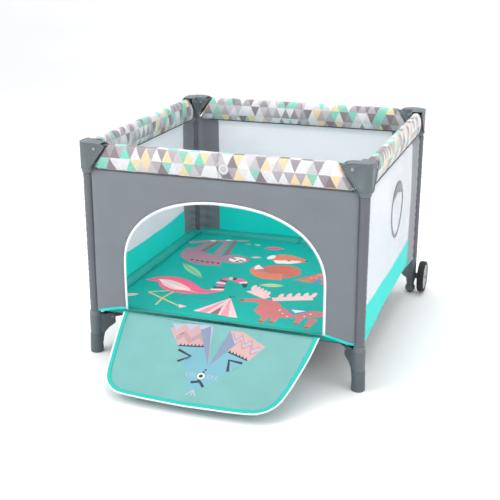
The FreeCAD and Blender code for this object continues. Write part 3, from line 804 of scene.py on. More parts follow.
def front_out(along, level):
    """How far the door side stands out: bulged between the legs, wrinkled at the legs."""
    span = 1.0 - (along / LEG) ** 2
    bulge = 0.0030 * span * math.sin(math.pi * min(1.0, max(0.0, (level - HEM) / 0.5)))
    creases = 0.0016 * ripple(along, level * 0.25, 0.7, 22.0, 2.0) + 0.0022 * ripple(along, level, 0.2, 6.0,
                                                                                     9.0)
    near_leg = 1.0 - smooth(0.0, 0.05, LEG - abs(along))
    creases += 0.0012 * math.sin(level * 2 * math.pi / 0.026 + 6 * along) * near_leg
    tucked = 0.012 * (1.0 - smooth(0.008, 0.024, LEG - abs(along)))
    return WALL_FACE - 0.0025 + bulge + creases - tucked - 0.011 * smooth(0.640, 0.668, level)


def anticlockwise(outline):
    """An outline walked anticlockwise."""
    turned = sum(a[0] * b[1] - b[0] * a[1] for a, b in zip(outline, outline[1:] + outline[:1]))
    return outline if turned > 0 else outline[::-1]


def triangulate(outer, holes, shapes, spacing, margin):
    """Triangles of a flat region that keep its shapes' outlines, with each triangle's shape number."""
    points, faces = [], []
    for outline in [outer] + holes + shapes:
        faces.append(list(range(len(points), len(points) + len(outline))))
        points += [Vector(point) for point in anticlockwise(outline)]
    low_x, high_x = min(p[0] for p in outer), max(p[0] for p in outer)
    low_y, high_y = min(p[1] for p in outer), max(p[1] for p in outer)
    across, up = round((high_x - low_x) / spacing), round((high_y - low_y) / spacing)
    for column in range(1, across):
        for row in range(1, up):
            point = Vector((low_x + (high_x - low_x) * column / across, low_y + (high_y - low_y) * row / up))
            points.append(point)
    found = delaunay_2d_cdt(points, [], faces, 0, margin)
    verts, _, tris, _, _, origins = found
    kept, owner = [], []
    first_shape = 1 + len(holes)
    for tri, origin in zip(tris, origins):
        if 0 not in origin or any(1 <= number < first_shape for number in origin):
            continue
        kept.append(tri)
        owner.append(max([number - first_shape for number in origin if number >= first_shape], default=-1))
    used = sorted({index for tri in kept for index in tri})
    renumber = {index: place for place, index in enumerate(used)}
    return [verts[index] for index in used], [[renumber[index] for index in tri] for tri in kept], owner


def front_panel(sizes):
    """The grey door side with its arched doorway and a teal hem."""
    top = COVER_LOW[2] + 0.009
    edge = LEG - 0.008
    columns = stops([-edge, edge], 0.03)
    outer = [(along, hem_height(along, sizes, 0.12)) for along in columns]
    outer += [(along, top) for along in reversed(columns)]
    hole = arch_outline(sizes)
    bands = []
    for low, high in ((-edge - 0.001, -sizes.arch_half + sizes.arch_shift),
                      (sizes.arch_half + sizes.arch_shift, edge + 0.001)):
        run = stops([low, high], 0.03)
        band = [(along, hem_height(along, sizes, 0.12) - 0.002) for along in run]
        bands.append(band + [(along, hem_height(along, sizes, 0.12) + 0.009) for along in reversed(run)])
    flat, faces, owner = triangulate(outer, [hole], bands, 0.014, 1e-5)
    points = [side_point("front", p[0], front_out(p[0], p[1]), p[1]) for p in flat]
    made = piece("door_side_cloth", points, faces, ["front_cloth", "teal"],
                 [1 if number >= 0 else 0 for number in owner], [tuple(p) for p in flat])
    return thicken(made, 0.0010)


def ribbon(name, outline, width, lift, material, place, thickness=0.0012):
    """A flat tape centred on an outline in the cloth's plane."""
    points, uvs = [], []
    walk = 0.0
    for index, here in enumerate(outline):
        before, after = outline[max(0, index - 1)], outline[min(len(outline) - 1, index + 1)]
        run = (Vector(after) - Vector(before)).normalized()
        side = Vector((run.y, -run.x)) * width / 2
        walk += math.dist(before, here) if index else 0.0
        for share in (-1.0, -0.5, 0.0, 0.5, 1.0):
            flat = Vector(here) + side * share
            points.append(place(flat.x, flat.y, lift * (1.0 - 0.5 * share * share)))
            uvs.append((walk, share * width / 2))
    made = piece(name, points, grid_faces(5, len(outline)), [material], None, uvs)
    return thicken(made, thickness)


def zip_track(name, sizes, place, inset, lift):
    """Zip tape and teeth along the doorway's edge."""
    tape = ribbon(f"{name}_tape", arch_outline(sizes, inset), 0.0068, lift, "zip", place)
    row = [place(p[0], p[1], lift + 0.0012) for p in arch_outline(sizes, inset + 0.004)]
    teeth = boxes_along(f"{name}_teeth", row, sizes.zip_pitch, (0.0012, 0.0035, 0.0022), "teeth")
    return join(name, [tape, teeth])


class PLAYPEN_OT_door_side(bpy.types.Operator):
    """Door side cloth, doorway zip and hem"""
    bl_idname = "playpen.door_side"
    bl_label = "Door side"

    def execute(self, context):
        sizes = context.scene.playpen_sizes

        def place(across, level, lift):
            return side_point("front", across, front_out(across, level) + lift, level)

        cloth = front_panel(sizes)
        zip_piece = zip_track("doorway_zip", sizes, place, 0.002, 0.0012)
        for made in (cloth, zip_piece):
            fold_with(made, "leg_front_left")
        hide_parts("front_panel")
        return {"FINISHED"}


# ---------------------------------------------------------------- prints

def ellipse(x, y, wide, tall, angle=0.0, count=22):
    """An ellipse's outline; the angle is in degrees."""
    turn = math.radians(angle)
    outline = []
    for step in range(count):
        along = 2 * math.pi * step / count
        a, b = wide * math.cos(along), tall * math.sin(along)
        outline.append((x + a * math.cos(turn) - b * math.sin(turn),
                        y + a * math.sin(turn) + b * math.cos(turn)))
    return outline


def stroke(points, width, end=None):
    """The outline of a brush stroke along points, tapering to an end width."""
    end = width if end is None else end
    left, right = [], []
    for index, here in enumerate(points):
        before, after = points[max(0, index - 1)], points[min(len(points) - 1, index + 1)]
        run = (Vector(after) - Vector(before)).normalized()
        half = (width + (end - width) * index / (len(points) - 1)) / 2
        left.append((here[0] - run.y * half, here[1] + run.x * half))
        right.append((here[0] + run.y * half, here[1] - run.x * half))
    return left + right[::-1]


def curve(points, count=5):
    """A smooth line through points."""
    result = []
    last = len(points) - 1
    for index in range(last):
        p0, p1 = Vector(points[max(0, index - 1)]), Vector(points[index])
        p2, p3 = Vector(points[index + 1]), Vector(points[min(last, index + 2)])
        for step in range(count):
            t = step / count
            result.append(tuple(0.5 * ((2 * p1) + (p2 - p0) * t + (2 * p0 - 5 * p1 + 4 * p2 - p3) * t * t
                                       + (3 * p1 - p0 - 3 * p2 + p3) * t ** 3)))
    return result + [tuple(points[-1])]


def leaf(x, y, size, angle, slim=0.28):
    """A pointed leaf."""
    turn = math.radians(angle)
    outline = []
    for side in (1, -1):
        for step in range(8):
            share = step / 8 if side > 0 else 1 - step / 8
            a, b = (share - 0.5) * size, side * slim * size * math.sin(math.pi * share) * 0.5
            outline.append((x + a * math.cos(turn) - b * math.sin(turn),
                            y + a * math.sin(turn) + b * math.cos(turn)))
    return outline


PINK, ROSE, BLUSH = (0.84, 0.13, 0.25), (0.78, 0.30, 0.38), (0.86, 0.56, 0.55)
MAUVE, PLUM, BRANCH = (0.36, 0.21, 0.27), (0.27, 0.13, 0.17), (0.50, 0.24, 0.31)
ORANGE, RUST, CREAM = (0.74, 0.20, 0.12), (0.60, 0.145, 0.11), (0.80, 0.76, 0.70)
SALMON, BRICK, INK = (0.58, 0.17, 0.17), (0.36, 0.10, 0.07), (0.03, 0.035, 0.05)
NAVY, STRAW = (0.035, 0.06, 0.10), (0.62, 0.48, 0.22)
LEAF_GREEN, LEAF_PALE, BLUE, LILAC = (0.24, 0.56, 0.30), (0.56, 0.66, 0.32), (0.05, 0.30, 0.42), (0.52, 0.50,
                                                                                                  0.72)


def tent_motif(apex, left, right, wall, stripe, dark):
    """A plain pointed tent: two stripes, a doorway and crossed poles."""
    apex, left, right = Vector(apex), Vector(left), Vector(right)

    def on_base(share):
        return left.lerp(right, share)

    shapes = [(wall, [tuple(apex), tuple(left), tuple(right)])]
    for low, high in ((0.12, 0.30), (0.62, 0.80)):
        shapes.append((stripe, [tuple(apex), tuple(on_base(low)), tuple(on_base(high))]))
    shapes.append((dark, [tuple(apex.lerp(on_base(0.5), 0.45)), tuple(on_base(0.38)), tuple(on_base(0.56))]))
    for foot in (left, right):
        tip = apex + (apex - foot).normalized() * 0.022
        shapes.append((INK, stroke([tuple(apex), tuple(tip)], 0.004)))
    for share in (0.35, 0.62):
        first, second = apex.lerp(left, share), apex.lerp(right, share)
        dots = [first.lerp(second, step / 6) for step in range(1, 6)]
        shapes += [(LILAC, ellipse(dot.x, dot.y, 0.004, 0.004, count=8)) for dot in dots]
    return shapes


def mat_shapes():
    """The mat's printed pictures, each a colour and an outline, later ones on top."""
    shapes = []
    # a sleepy climber hanging from a branch
    shapes.append((BRANCH, stroke(curve([(-0.43, 0.29), (-0.36, 0.335), (-0.28, 0.365), (-0.20, 0.395)]),
                                  0.026, 0.014)))
    body = curve([(-0.375, 0.235), (-0.365, 0.150), (-0.300, 0.095), (-0.215, 0.105)])
    shapes.append((MAUVE, stroke(body, 0.075, 0.10)))
    shapes.append((MAUVE, ellipse(-0.30, 0.135, 0.085, 0.050, -20)))
    for start, end in (((-0.375, 0.20), (-0.345, 0.335)), ((-0.262, 0.150), (-0.285, 0.365))):
        shapes.append((MAUVE, stroke([start, end], 0.034, 0.022)))
    for start, end in (((-0.335, 0.20), (-0.318, 0.345)), ((-0.225, 0.150), (-0.255, 0.375))):
        shapes.append((PLUM, stroke([start, end], 0.022, 0.016)))
    for x, y in ((-0.345, 0.345), (-0.284, 0.370)):
        shapes.append((CREAM, ellipse(x, y, 0.013, 0.008, 20, 10)))
    shapes.append((MAUVE, ellipse(-0.180, 0.155, 0.062, 0.050, -10)))
    shapes.append((CREAM, ellipse(-0.166, 0.150, 0.036, 0.030, -10)))
    shapes.append((PLUM, stroke([(-0.196, 0.165), (-0.172, 0.150)], 0.014, 0.008)))
    shapes.append((PLUM, stroke([(-0.160, 0.150), (-0.134, 0.140)], 0.014, 0.008)))
    shapes.append((INK, ellipse(-0.160, 0.130, 0.009, 0.006, 0, 8)))
    for step in range(6):
        x, y = -0.335 + 0.022 * step, 0.092 + 0.002 * abs(step - 2.5)
        shapes.append((INK, [(x - 0.009, y), (x + 0.009, y), (x, y - 0.016)]))
    # a long-necked bird
    shapes.append((PINK, curve([(-0.415, -0.175), (-0.375, -0.125), (-0.300, -0.112), (-0.230, -0.150),
                                (-0.180, -0.195),
                                (-0.130, -0.205), (-0.150, -0.235), (-0.240, -0.262), (-0.320, -0.235),
                                (-0.360, -0.180)], 4)))
    shapes.append((PINK, stroke(curve([(-0.150, -0.215), (-0.115, -0.185), (-0.135, -0.120), (-0.130, -0.070),
                                       (-0.085, -0.060)]), 0.030, 0.020)))
    shapes.append((PINK, ellipse(-0.075, -0.075, 0.036, 0.020, -30)))
    shapes.append((CREAM, stroke([(-0.062, -0.080), (-0.050, -0.098)], 0.030, 0.024)))
    shapes.append((NAVY, stroke([(-0.050, -0.094), (-0.036, -0.135)], 0.026, 0.010)))
    for tone, start, end in ((CREAM, (-0.148, -0.190), (-0.100, -0.180)),
                             (NAVY, (-0.148, -0.165), (-0.104, -0.158)),
                             (BLUE, (-0.152, -0.140), (-0.112, -0.136)),
                             (CREAM, (-0.152, -0.118), (-0.116, -0.118)),
                             (NAVY, (-0.150, -0.088), (-0.118, -0.096)),
                             (LEAF_PALE, (-0.122, -0.046), (-0.112, -0.076)),
                             (NAVY, (-0.104, -0.044), (-0.098, -0.072))):
        shapes.append((tone, stroke([start, end], 0.013)))
    shapes.append((BLUSH, curve([(-0.372, -0.150), (-0.300, -0.155), (-0.215, -0.215), (-0.270, -0.235),
                                 (-0.330, -0.205)], 4)))
    for row in range(6):
        line = [(-0.362 + 0.018 * row, -0.158 - 0.012 * row), (-0.270 + 0.018 * row, -0.205 - 0.006 * row)]
        shapes.append((CREAM, stroke(line, 0.007, 0.002)))
    for line in ([(-0.265, -0.255), (-0.278, -0.320)], [(-0.278, -0.320), (-0.275, -0.392)],
                 [(-0.285, -0.252), (-0.352, -0.285)], [(-0.352, -0.285), (-0.190, -0.380)]):
        shapes.append((STRAW, stroke(line, 0.009, 0.007)))
    shapes.append((BLUSH, [(-0.200, -0.362), (-0.165, -0.372), (-0.185, -0.395)]))
    # a curled fox
    shapes.append((RUST, ellipse(0.035, 0.075, 0.082, 0.072, 10)))
    shapes.append((ORANGE, stroke(curve([(0.060, 0.020), (-0.010, 0.010), (-0.055, 0.050), (-0.060, 0.105)]),
                                  0.070, 0.030)))
    shapes.append((CREAM, stroke(curve([(-0.050, 0.072), (-0.062, 0.095), (-0.066, 0.118)]), 0.040, 0.008)))
    shapes.append((BLUE, stroke([(-0.050, 0.060), (-0.002, 0.050)], 0.010)))
    shapes.append((ORANGE, curve([(-0.045, 0.215), (-0.020, 0.268), (0.040, 0.262), (0.100, 0.222),
                                  (0.055, 0.175),
                                  (-0.015, 0.165)], 4)))
    shapes.append((CREAM, curve([(-0.030, 0.190), (0.010, 0.205), (0.080, 0.212), (0.045, 0.172),
                                 (-0.010, 0.162)], 4)))
    shapes.append((CREAM, ellipse(-0.048, 0.222, 0.015, 0.028, -10, 12)))
    shapes.append((INK, ellipse(0.030, 0.205, 0.007, 0.005, 0, 8)))
    shapes.append((INK, ellipse(0.096, 0.220, 0.007, 0.006, 0, 8)))
    # a grazing deer with broad antlers
    for foot in ((0.120, -0.425), (0.155, -0.420), (0.235, -0.405), (0.278, -0.425)):
        shapes.append((SALMON, stroke([(foot[0] + 0.004, foot[1] + 0.085), foot], 0.030, 0.016)))
        shapes.append((BRICK, stroke([(foot[0], foot[1] + 0.014), foot], 0.017, 0.015)))
    shapes.append((SALMON, curve([(0.065, -0.240), (0.130, -0.238), (0.155, -0.282), (0.230, -0.272),
                                  (0.318, -0.275),
                                  (0.300, -0.315), (0.215, -0.350), (0.120, -0.378), (0.068, -0.335)], 4)))
    shapes.append((SALMON, stroke(curve([(0.110, -0.250), (0.050, -0.238), (-0.002, -0.252)]), 0.055, 0.026)))
    shapes.append((BRICK, ellipse(-0.006, -0.253, 0.012, 0.011, 0, 10)))
    for root, tip in (((0.075, -0.205), (-0.005, -0.150)), ((0.095, -0.212), (0.225, -0.150))):
        shapes.append((BLUSH, stroke([root, tip], 0.032, 0.046)))
        for step in range(5):
            x = root[0] + (tip[0] - root[0]) * (0.15 + 0.21 * step)
            y = root[1] + (tip[1] - root[1]) * (0.15 + 0.21 * step)
            shapes.append((BLUSH, ellipse(x, y + 0.030, 0.0085, 0.026, 0, 12)))
    shapes.append((BLUE, [(0.160, -0.272), (0.262, -0.268), (0.205, -0.330)]))
    shapes.append((CREAM, [(0.185, -0.280), (0.238, -0.278), (0.208, -0.305)]))
    shapes += [(CREAM, ellipse(x, y, 0.004, 0.004, 0, 8)) for x, y in
               ((0.150, -0.300), (0.168, -0.325), (0.260, -0.300), (0.245, -0.325), (0.190, -0.345))]
    # tents
    shapes += tent_motif((-0.050, -0.245), (-0.130, -0.400), (0.035, -0.412), BLUSH, ROSE, PLUM)
    shapes += tent_motif((0.205, 0.130), (0.110, 0.000), (0.300, -0.015), SALMON, ORANGE, BLUE)
    # leaves and feathers
    for tone, x, y, size, angle, slim in (
            (LEAF_GREEN, -0.290, -0.020, 0.190, -45, 0.22), (PINK, -0.070, 0.330, 0.085, 14, 0.45),
            (LEAF_GREEN, -0.190, 0.345, 0.035, 35, 0.5), (LEAF_PALE, -0.150, 0.352, 0.035, -20, 0.5),
            (BLUSH, -0.105, 0.200, 0.050, 20, 0.4), (LEAF_PALE, 0.050, -0.080, 0.095, 12, 0.36),
            (BLUE, -0.130, -0.280, 0.070, 25, 0.3), (LEAF_PALE, 0.180, 0.250, 0.060, 30, 0.4),
            (LEAF_GREEN, 0.300, 0.110, 0.070, -60, 0.35), (PINK, 0.330, 0.300, 0.080, 30, 0.4),
            (BLUE, 0.060, 0.380, 0.070, -20, 0.35),
            (LEAF_GREEN, 0.370, -0.200, 0.080, 70, 0.3), (BLUSH, -0.400, -0.330, 0.060, 30, 0.4)):
        shapes.append((tone, leaf(x, y, size, angle, slim)))
        tip = Vector((math.cos(math.radians(angle)), math.sin(math.radians(angle)))) * size * 0.45
        shapes.append((INK, stroke([(x - tip.x, y - tip.y), (x + tip.x, y + tip.y)], 0.0025, 0.0015)))
    return shapes


def flap_shapes():
    """The door flap's print, in metres across and out from the hinge: two tents joined at their tops."""
    pale, sky, steel_blue = (0.39, 0.41, 0.51), (0.155, 0.375, 0.45), (0.20, 0.25, 0.36)
    dusty, warm, brick, shade = (0.50, 0.32, 0.34), (0.53, 0.35, 0.335), (0.55, 0.23, 0.21), (0.40, 0.26,
                                                                                              0.27)
    shapes = [(sky, [(-0.100, 0.105), (-0.010, 0.100), (0.022, 0.180), (0.050, 0.110), (0.142, 0.130),
                     (0.035, 0.275), (-0.012, 0.275)])]
    shapes.append((dusty, [(-0.158, 0.045), (-0.110, 0.018), (-0.020, 0.012), (-0.015, 0.100),
                           (-0.105, 0.112)]))
    shapes.append((warm, [(0.048, 0.022), (0.092, 0.020), (0.182, 0.068), (0.145, 0.132), (0.070, 0.108)]))
    shapes.append((shade, [(-0.128, 0.075), (-0.100, 0.048), (-0.074, 0.074), (-0.046, 0.044),
                           (-0.018, 0.070),
                           (-0.017, 0.092), (-0.046, 0.070), (-0.074, 0.098), (-0.098, 0.074),
                           (-0.118, 0.092)]))
    for x, y in ((-0.135, 0.030), (-0.088, 0.022), (-0.045, 0.020)):
        shapes.append((pale, [(x - 0.022, y - 0.006), (x + 0.022, y - 0.008), (x, y + 0.022)]))
    zigzag = [(0.060, 0.040), (0.078, 0.068), (0.094, 0.042), (0.110, 0.078), (0.132, 0.058), (0.142, 0.096),
              (0.164, 0.080)]
    for tone, width, shift in ((pale, 0.020, 0.0), (brick, 0.0045, -0.009), (brick, 0.0045, 0.012)):
        for start, end in zip(zigzag, zigzag[1:]):
            shapes.append((tone, stroke([(start[0], start[1] + shift), (end[0], end[1] + shift)], width)))
    shapes.append((steel_blue, [(-0.052, 0.035), (-0.018, 0.012), (0.022, 0.178)]))
    shapes.append((steel_blue, [(0.048, 0.022), (0.082, 0.078), (0.024, 0.178)]))
    shapes.append((pale, [(-0.022, 0.014), (-0.014, 0.016), (0.022, 0.176)]))
    for start, end, count in (((-0.104, 0.112), (-0.018, 0.102), 7), ((0.068, 0.110), (0.140, 0.132), 6)):
        shapes.append((INK, stroke([start, end], 0.005)))
        for step in range(count):
            x = start[0] + (end[0] - start[0]) * (step + 0.5) / count
            y = start[1] + (end[1] - start[1]) * (step + 0.5) / count
            shapes.append((INK, [(x - 0.004, y), (x + 0.004, y), (x, y - 0.012)]))
    for points in ([(-0.098, 0.128), (-0.048, 0.148), (-0.084, 0.176)],
                   [(0.128, 0.146), (0.082, 0.142), (0.092, 0.188)],
                   [(-0.010, 0.252), (0.018, 0.244), (0.036, 0.264)]):
        shapes.append((INK, stroke(points, 0.010)))
    shapes.append((CREAM, ellipse(0.014, 0.222, 0.012, 0.012, 0, 16)))
    shapes.append((INK, ellipse(0.014, 0.222, 0.007, 0.007, 0, 12)))
    shapes += [(INK, ellipse(x, y, 0.004, 0.004, 0, 8)) for x,
               y in ((0.021, 0.195), (0.018, 0.205), (0.012, 0.240))]
    for x in (-0.035, -0.022, -0.009, 0.038, 0.051, 0.064):
        shapes.append((pale, stroke([(x + 0.005, 0.212), (x - 0.003, 0.221), (x + 0.005, 0.230)], 0.003)))
    shapes += [(pale, stroke([(0.010, 0.280), (0.010 + x, 0.305)], 0.004)) for x in (-0.018, 0.0, 0.014)]
    return shapes


def painted(name, outer, shapes, ground, place, spacing, material):
    """A printed cloth: its triangles carry the colour of the topmost shape over them."""
    tones = [tone for tone, _ in shapes]
    outlines = [outline for _, outline in shapes]
    flat, faces, owner = triangulate(outer, [], outlines, spacing, 1e-5)
    points = [place(p[0], p[1]) for p in flat]
    made = piece(name, points, faces, [material], None, [tuple(p) for p in flat])
    layer = made.data.color_attributes.new("print", "FLOAT_COLOR", "CORNER")
    for polygon in made.data.polygons:
        number = owner[polygon.index]
        tone = tones[number] if number >= 0 else ground
        for loop in polygon.loop_indices:
            layer.data[loop].color = (*tone, 1.0)
    return made


def mat_level(x, y):
    """The mat's upper face: softly uneven, rolled down at its edge, creased where its boards meet."""
    half = MAT_HIGH[0]
    edge = half - max(abs(x), abs(y))
    roll = 0.006 * (1.0 - smooth(0.0, 0.012, edge)) ** 2
    fold = 0.0016 * math.exp(-((abs(x) - half / 2) / 0.006) ** 2) + 0.0016 * math.exp(-(x / 0.006) ** 2)
    uneven = 0.0012 * ripple(x, y, 0.0, 7.0, 4.0) + 0.0006 * ripple(x, y, 0.0, 19.0, 8.0)
    return MAT_HIGH[2] - 0.001 - roll - fold + uneven


def rounded_square(half, radius, step=0.02):
    """A square outline with rounded corners, walked anticlockwise."""
    outline = []
    for quarter in range(4):
        turn = math.pi / 2 * quarter
        straight = stops([-(half - radius), half - radius], step)
        for along in straight:
            outline.append((half * math.cos(turn) - along * math.sin(turn),
                            half * math.sin(turn) + along * math.cos(turn)))
        for part in range(1, 6):
            angle = turn + math.pi / 2 * part / 6
            corner = Vector(((half - radius) * (math.cos(turn) - math.sin(turn)),
                             (half - radius) * (math.sin(turn) + math.cos(turn))))
            outline.append((corner.x + radius * math.cos(angle), corner.y + radius * math.sin(angle)))
    return outline


class PLAYPEN_OT_mat(bpy.types.Operator):
    """Printed play mat on folding boards"""
    bl_idname = "playpen.mat"
    bl_label = "Mat"

    def execute(self, context):
        colours = context.scene.playpen_colours
        rim = rounded_square(MAT_HIGH[0], 0.03)
        top = painted("play_mat", rim, mat_shapes(), tuple(colours.mat_teal),
                      lambda x, y: Vector((x, y, mat_level(x, y))), 0.016, "mat")
        solid = top.modifiers.new("thickness", "SOLIDIFY")
        solid.thickness = MAT_HIGH[2] - MAT_LOW[2] - 0.008
        solid.offset = -1.0
        apply_modifiers(top)
        seam = [Vector((x, y, (MAT_LOW[2] + MAT_HIGH[2]) / 2 - 0.002)) for x, y in rim]
        edge = tube("mat_piping", seam, 0.0024, "piping", 8, closed=True)
        whole = join("play_mat", [top, edge])
        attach(whole, "mat")
        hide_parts("mat")
        return {"FINISHED"}


FLAP_EDGE = [(0.346, 0.004), (0.337, 0.080), (0.323, 0.160), (0.307, 0.240), (0.295, 0.280), (0.278, 0.308),
             (0.250, 0.331), (0.212, 0.343), (0.110, 0.350), (0.0, 0.353)]


def flap_outline(inset=0.0):
    """The flap's edge: tapering sides, then a far end with rounded corners."""
    half = curve(FLAP_EDGE, 4)
    whole = [(-x, y) for x, y in half] + half[-2::-1]
    moved = []
    for index, (x, y) in enumerate(whole):
        before, after = whole[max(0, index - 1)], whole[min(len(whole) - 1, index + 1)]
        run = (Vector(after) - Vector(before)).normalized()
        moved.append((x + run.y * inset, y - run.x * inset))
    return moved


class PLAYPEN_OT_door_flap(bpy.types.Operator):
    """Door flap with its print, binding and zip edge"""
    bl_idname = "playpen.door_flap"
    bl_label = "Door flap"

    def execute(self, context):
        colours, sizes = context.scene.playpen_colours, context.scene.playpen_sizes
        low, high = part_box("door_flap")
        slope = math.atan2(high[2] - low[2], high[1] - low[1])

        def place(across, out, lift=0.0):
            sag = 0.006 * math.sin(math.pi * min(1.0, out / 0.36)) + 0.0016 * ripple(across, out, 0.0, 8.0,
                                                                                     6.0)
            sag += 0.0008 * ripple(across, out, 0.0, 26.0, 3.0)
            rise = lift - sag
            return Vector((across, -FLAP_HINGE[0] - out * math.cos(slope) + rise * -math.sin(slope),
                           FLAP_HINGE[1] - 0.001 - out * math.sin(slope) + rise * math.cos(slope)))

        outline = flap_outline(0.012)
        cloth = painted("flap_cloth", outline, flap_shapes(), tuple(colours.mint), place, 0.014, "flap")
        thicken(cloth, 0.0016)
        binding = ribbon("flap_binding", flap_outline(0.012), 0.012, 0.0016, "binding", place, 0.0022)
        edge = ribbon("flap_zip", flap_outline(0.0035), 0.0056, 0.0010, "zip", place, 0.0020)
        row = [place(p[0], p[1], 0.0022) for p in flap_outline(0.0015)]
        teeth = boxes_along("flap_teeth", row, sizes.zip_pitch, (0.0012, 0.0030, 0.0020), "teeth")
        for made in (cloth, binding, edge, teeth):
            fold_with(made, "door_flap")
        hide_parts("door_flap")
        return {"FINISHED"}


# ---------------------------------------------------------------- floor, sleeves, small soft parts

class PLAYPEN_OT_floor_cloth(bpy.types.Operator):
    """Floor cloth in four quarters that ride on the struts, and the lifting strap"""
    bl_idname = "playpen.floor_cloth"
    bl_label = "Floor cloth"

    def execute(self, context):
        low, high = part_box("floor_panel")
        level, half = (low[2] + high[2]) / 2, high[0]
        hole, rim, clip = 0.046, WALL_FACE - 0.0075, 2 * LEG - 0.022
        for corner, (side_x, side_y) in CORNERS.items():
            points, uvs, clipped = [], [], []
            steps = stops([0.0, half - 0.003, half, half + 0.003, rim], 0.0185)
            count = len(steps)
            for y, x in [(row, column) for row in steps for column in steps]:
                clipped.append(x + y > clip)
                if x + y > clip:
                    x, y = x * clip / (x + y), y * clip / (x + y)
                reach = math.hypot(x, y)
                if reach < 1e-5:
                    x, y = hole * 0.7071, hole * 0.7071
                elif reach < hole:
                    x, y = x * hole / reach, y * hole / reach
                turned_up = (MAT_HIGH[2] - level - 0.003) * smooth(half - 0.001, half + 0.003, max(x, y))
                turned_up += 0.012 * smooth(half + 0.003, rim, max(x, y))
                sag = 0.0009 * ripple(x, y, 0.0, 12.0, 3.0)
                points.append(Vector((side_x * x, side_y * y, level + sag + turned_up)))
                uvs.append((x, y))
            faces = [face for face in grid_faces(count, count) if not all(clipped[index] for index in face)]
            slots = [int(max(max(abs(points[index].x), abs(points[index].y)) for index in face) > half)
                     for face in faces]
            cloth = piece(f"floor_cloth_{corner}", points, faces, ["floor", "rim_cloth"], slots, uvs)
            thicken(cloth, 0.0012)
            face_outwards(cloth)
            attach(cloth, f"strut_{corner}")
            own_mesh(cloth)
            if corner == "front_left":
                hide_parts("floor_panel")
        low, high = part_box("pull_strap")
        middle = (high[2] + low[2]) / 2 + 0.0022
        path = [Vector((x, 0.0, middle + 0.0006 * math.cos(x * 40)))
                for x in stops([low[0] + 0.002, high[0] - 0.002], 0.01)]
        strap = tube("lifting_strap", path, 0.0010, "webbing", 12, flat=11.0)
        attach(strap, "hub")
        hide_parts("pull_strap")
        return {"FINISHED"}


def leg_sleeve(corner, sizes):
    """The cloth sleeve round a leg tube, with wrinkles across it."""
    side_x, side_y = CORNERS[corner]
    rows = stops([HEM - 0.008, HEM - 0.004, COVER_LOW[2] - 0.012], 0.0055)
    sides = 28
    loose = sizes.sleeve_slack if corner == "rear_right" else 0.0
    points, uvs = [], []
    for level in rows:
        for turn in range(sides):
            angle = 2 * math.pi * turn / sides
            drift = 4 * ripple(level, 0, 0, 9.0, side_x)
            wave = 0.0005 * math.sin(level * 2 * math.pi / 0.021 + 3 * math.sin(angle) + drift)
            radius = sizes.sleeve_radius + loose + wave + 0.0006 * ripple(math.cos(angle) * 0.02,
                                                                          math.sin(angle) * 0.02, level, 40.0)
            points.append(Vector((side_x * LEG + radius * math.cos(angle),
                                  side_y * LEG + radius * math.sin(angle), level)))
            uvs.append((angle * radius, level))
    faces = grid_faces(sides, len(rows), wrap=True)
    cloth = piece(f"leg_sleeve_{corner}", points, faces, ["sleeve_cloth"], None, uvs)
    thicken(cloth, 0.0012, 1.0)
    return face_outwards(cloth)


class PLAYPEN_OT_leg_sleeves(bpy.types.Operator):
    """Cloth sleeves round the legs"""
    bl_idname = "playpen.leg_sleeves"
    bl_label = "Leg sleeves"

    def execute(self, context):
        sizes = context.scene.playpen_sizes
        for corner in CORNERS:
            cloth = leg_sleeve(corner, sizes)
            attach(cloth, f"leg_{corner}")
        return {"FINISHED"}


class PLAYPEN_OT_release_patch(bpy.types.Operator):
    """Round printed patch that marks the front latch"""
    bl_idname = "playpen.release_patch"
    bl_label = "Release patch"

    def execute(self, context):
        x, y, z = 0.0190, COVER_LOW[1] - 0.0004, (COVER_LOW[2] + COVER_HIGH[2]) / 2 - 0.004
        disc = lathe("release_patch", [(0.0, 0.0), (0.0172, 0.0), (0.0176, 0.0008), (0.0170, 0.0016),
                                       (0.0, 0.0018)],
                     (x, y + 0.0012, z), (0, -1, 0), "patch", 40)
        ring = lathe("patch_ring", [(0.0120, 0.0), (0.0138, 0.0), (0.0138, 0.0006), (0.0120, 0.0006)],
                     (x, y - 0.0004, z), (0, -1, 0), "button", 40)
        for made in (disc, ring):
            fold_with(made, "rail_front_right")
        return {"FINISHED"}


# ---------------------------------------------------------------- moulded parts and metal

def ear_lip(corner, turn):
    """The raised lip along an ear's slanted edge and over its top, on its outer face."""
    top = CONNECTOR_TOP
    path = [(0.000, top - 0.0008), (0.030, top - 0.0008), (0.046, top - 0.0015), (0.062, top - 0.0045),
            (0.0715, top - 0.0100), (0.0712, top - 0.0150), (0.0450, top - 0.0480), (0.0195, top - 0.0800),
            (0.0100, top - 0.0890), (-0.004, top - 0.0894)]
    line = [Vector((point[0], -EAR_HALF - 0.0002, point[1])) for point in curve(path, 4)]
    lip = tube(f"lip_{corner}_{turn}", line, 0.0022, "plastic", 8)
    place_at_corner(lip, corner, turn)
    return lip


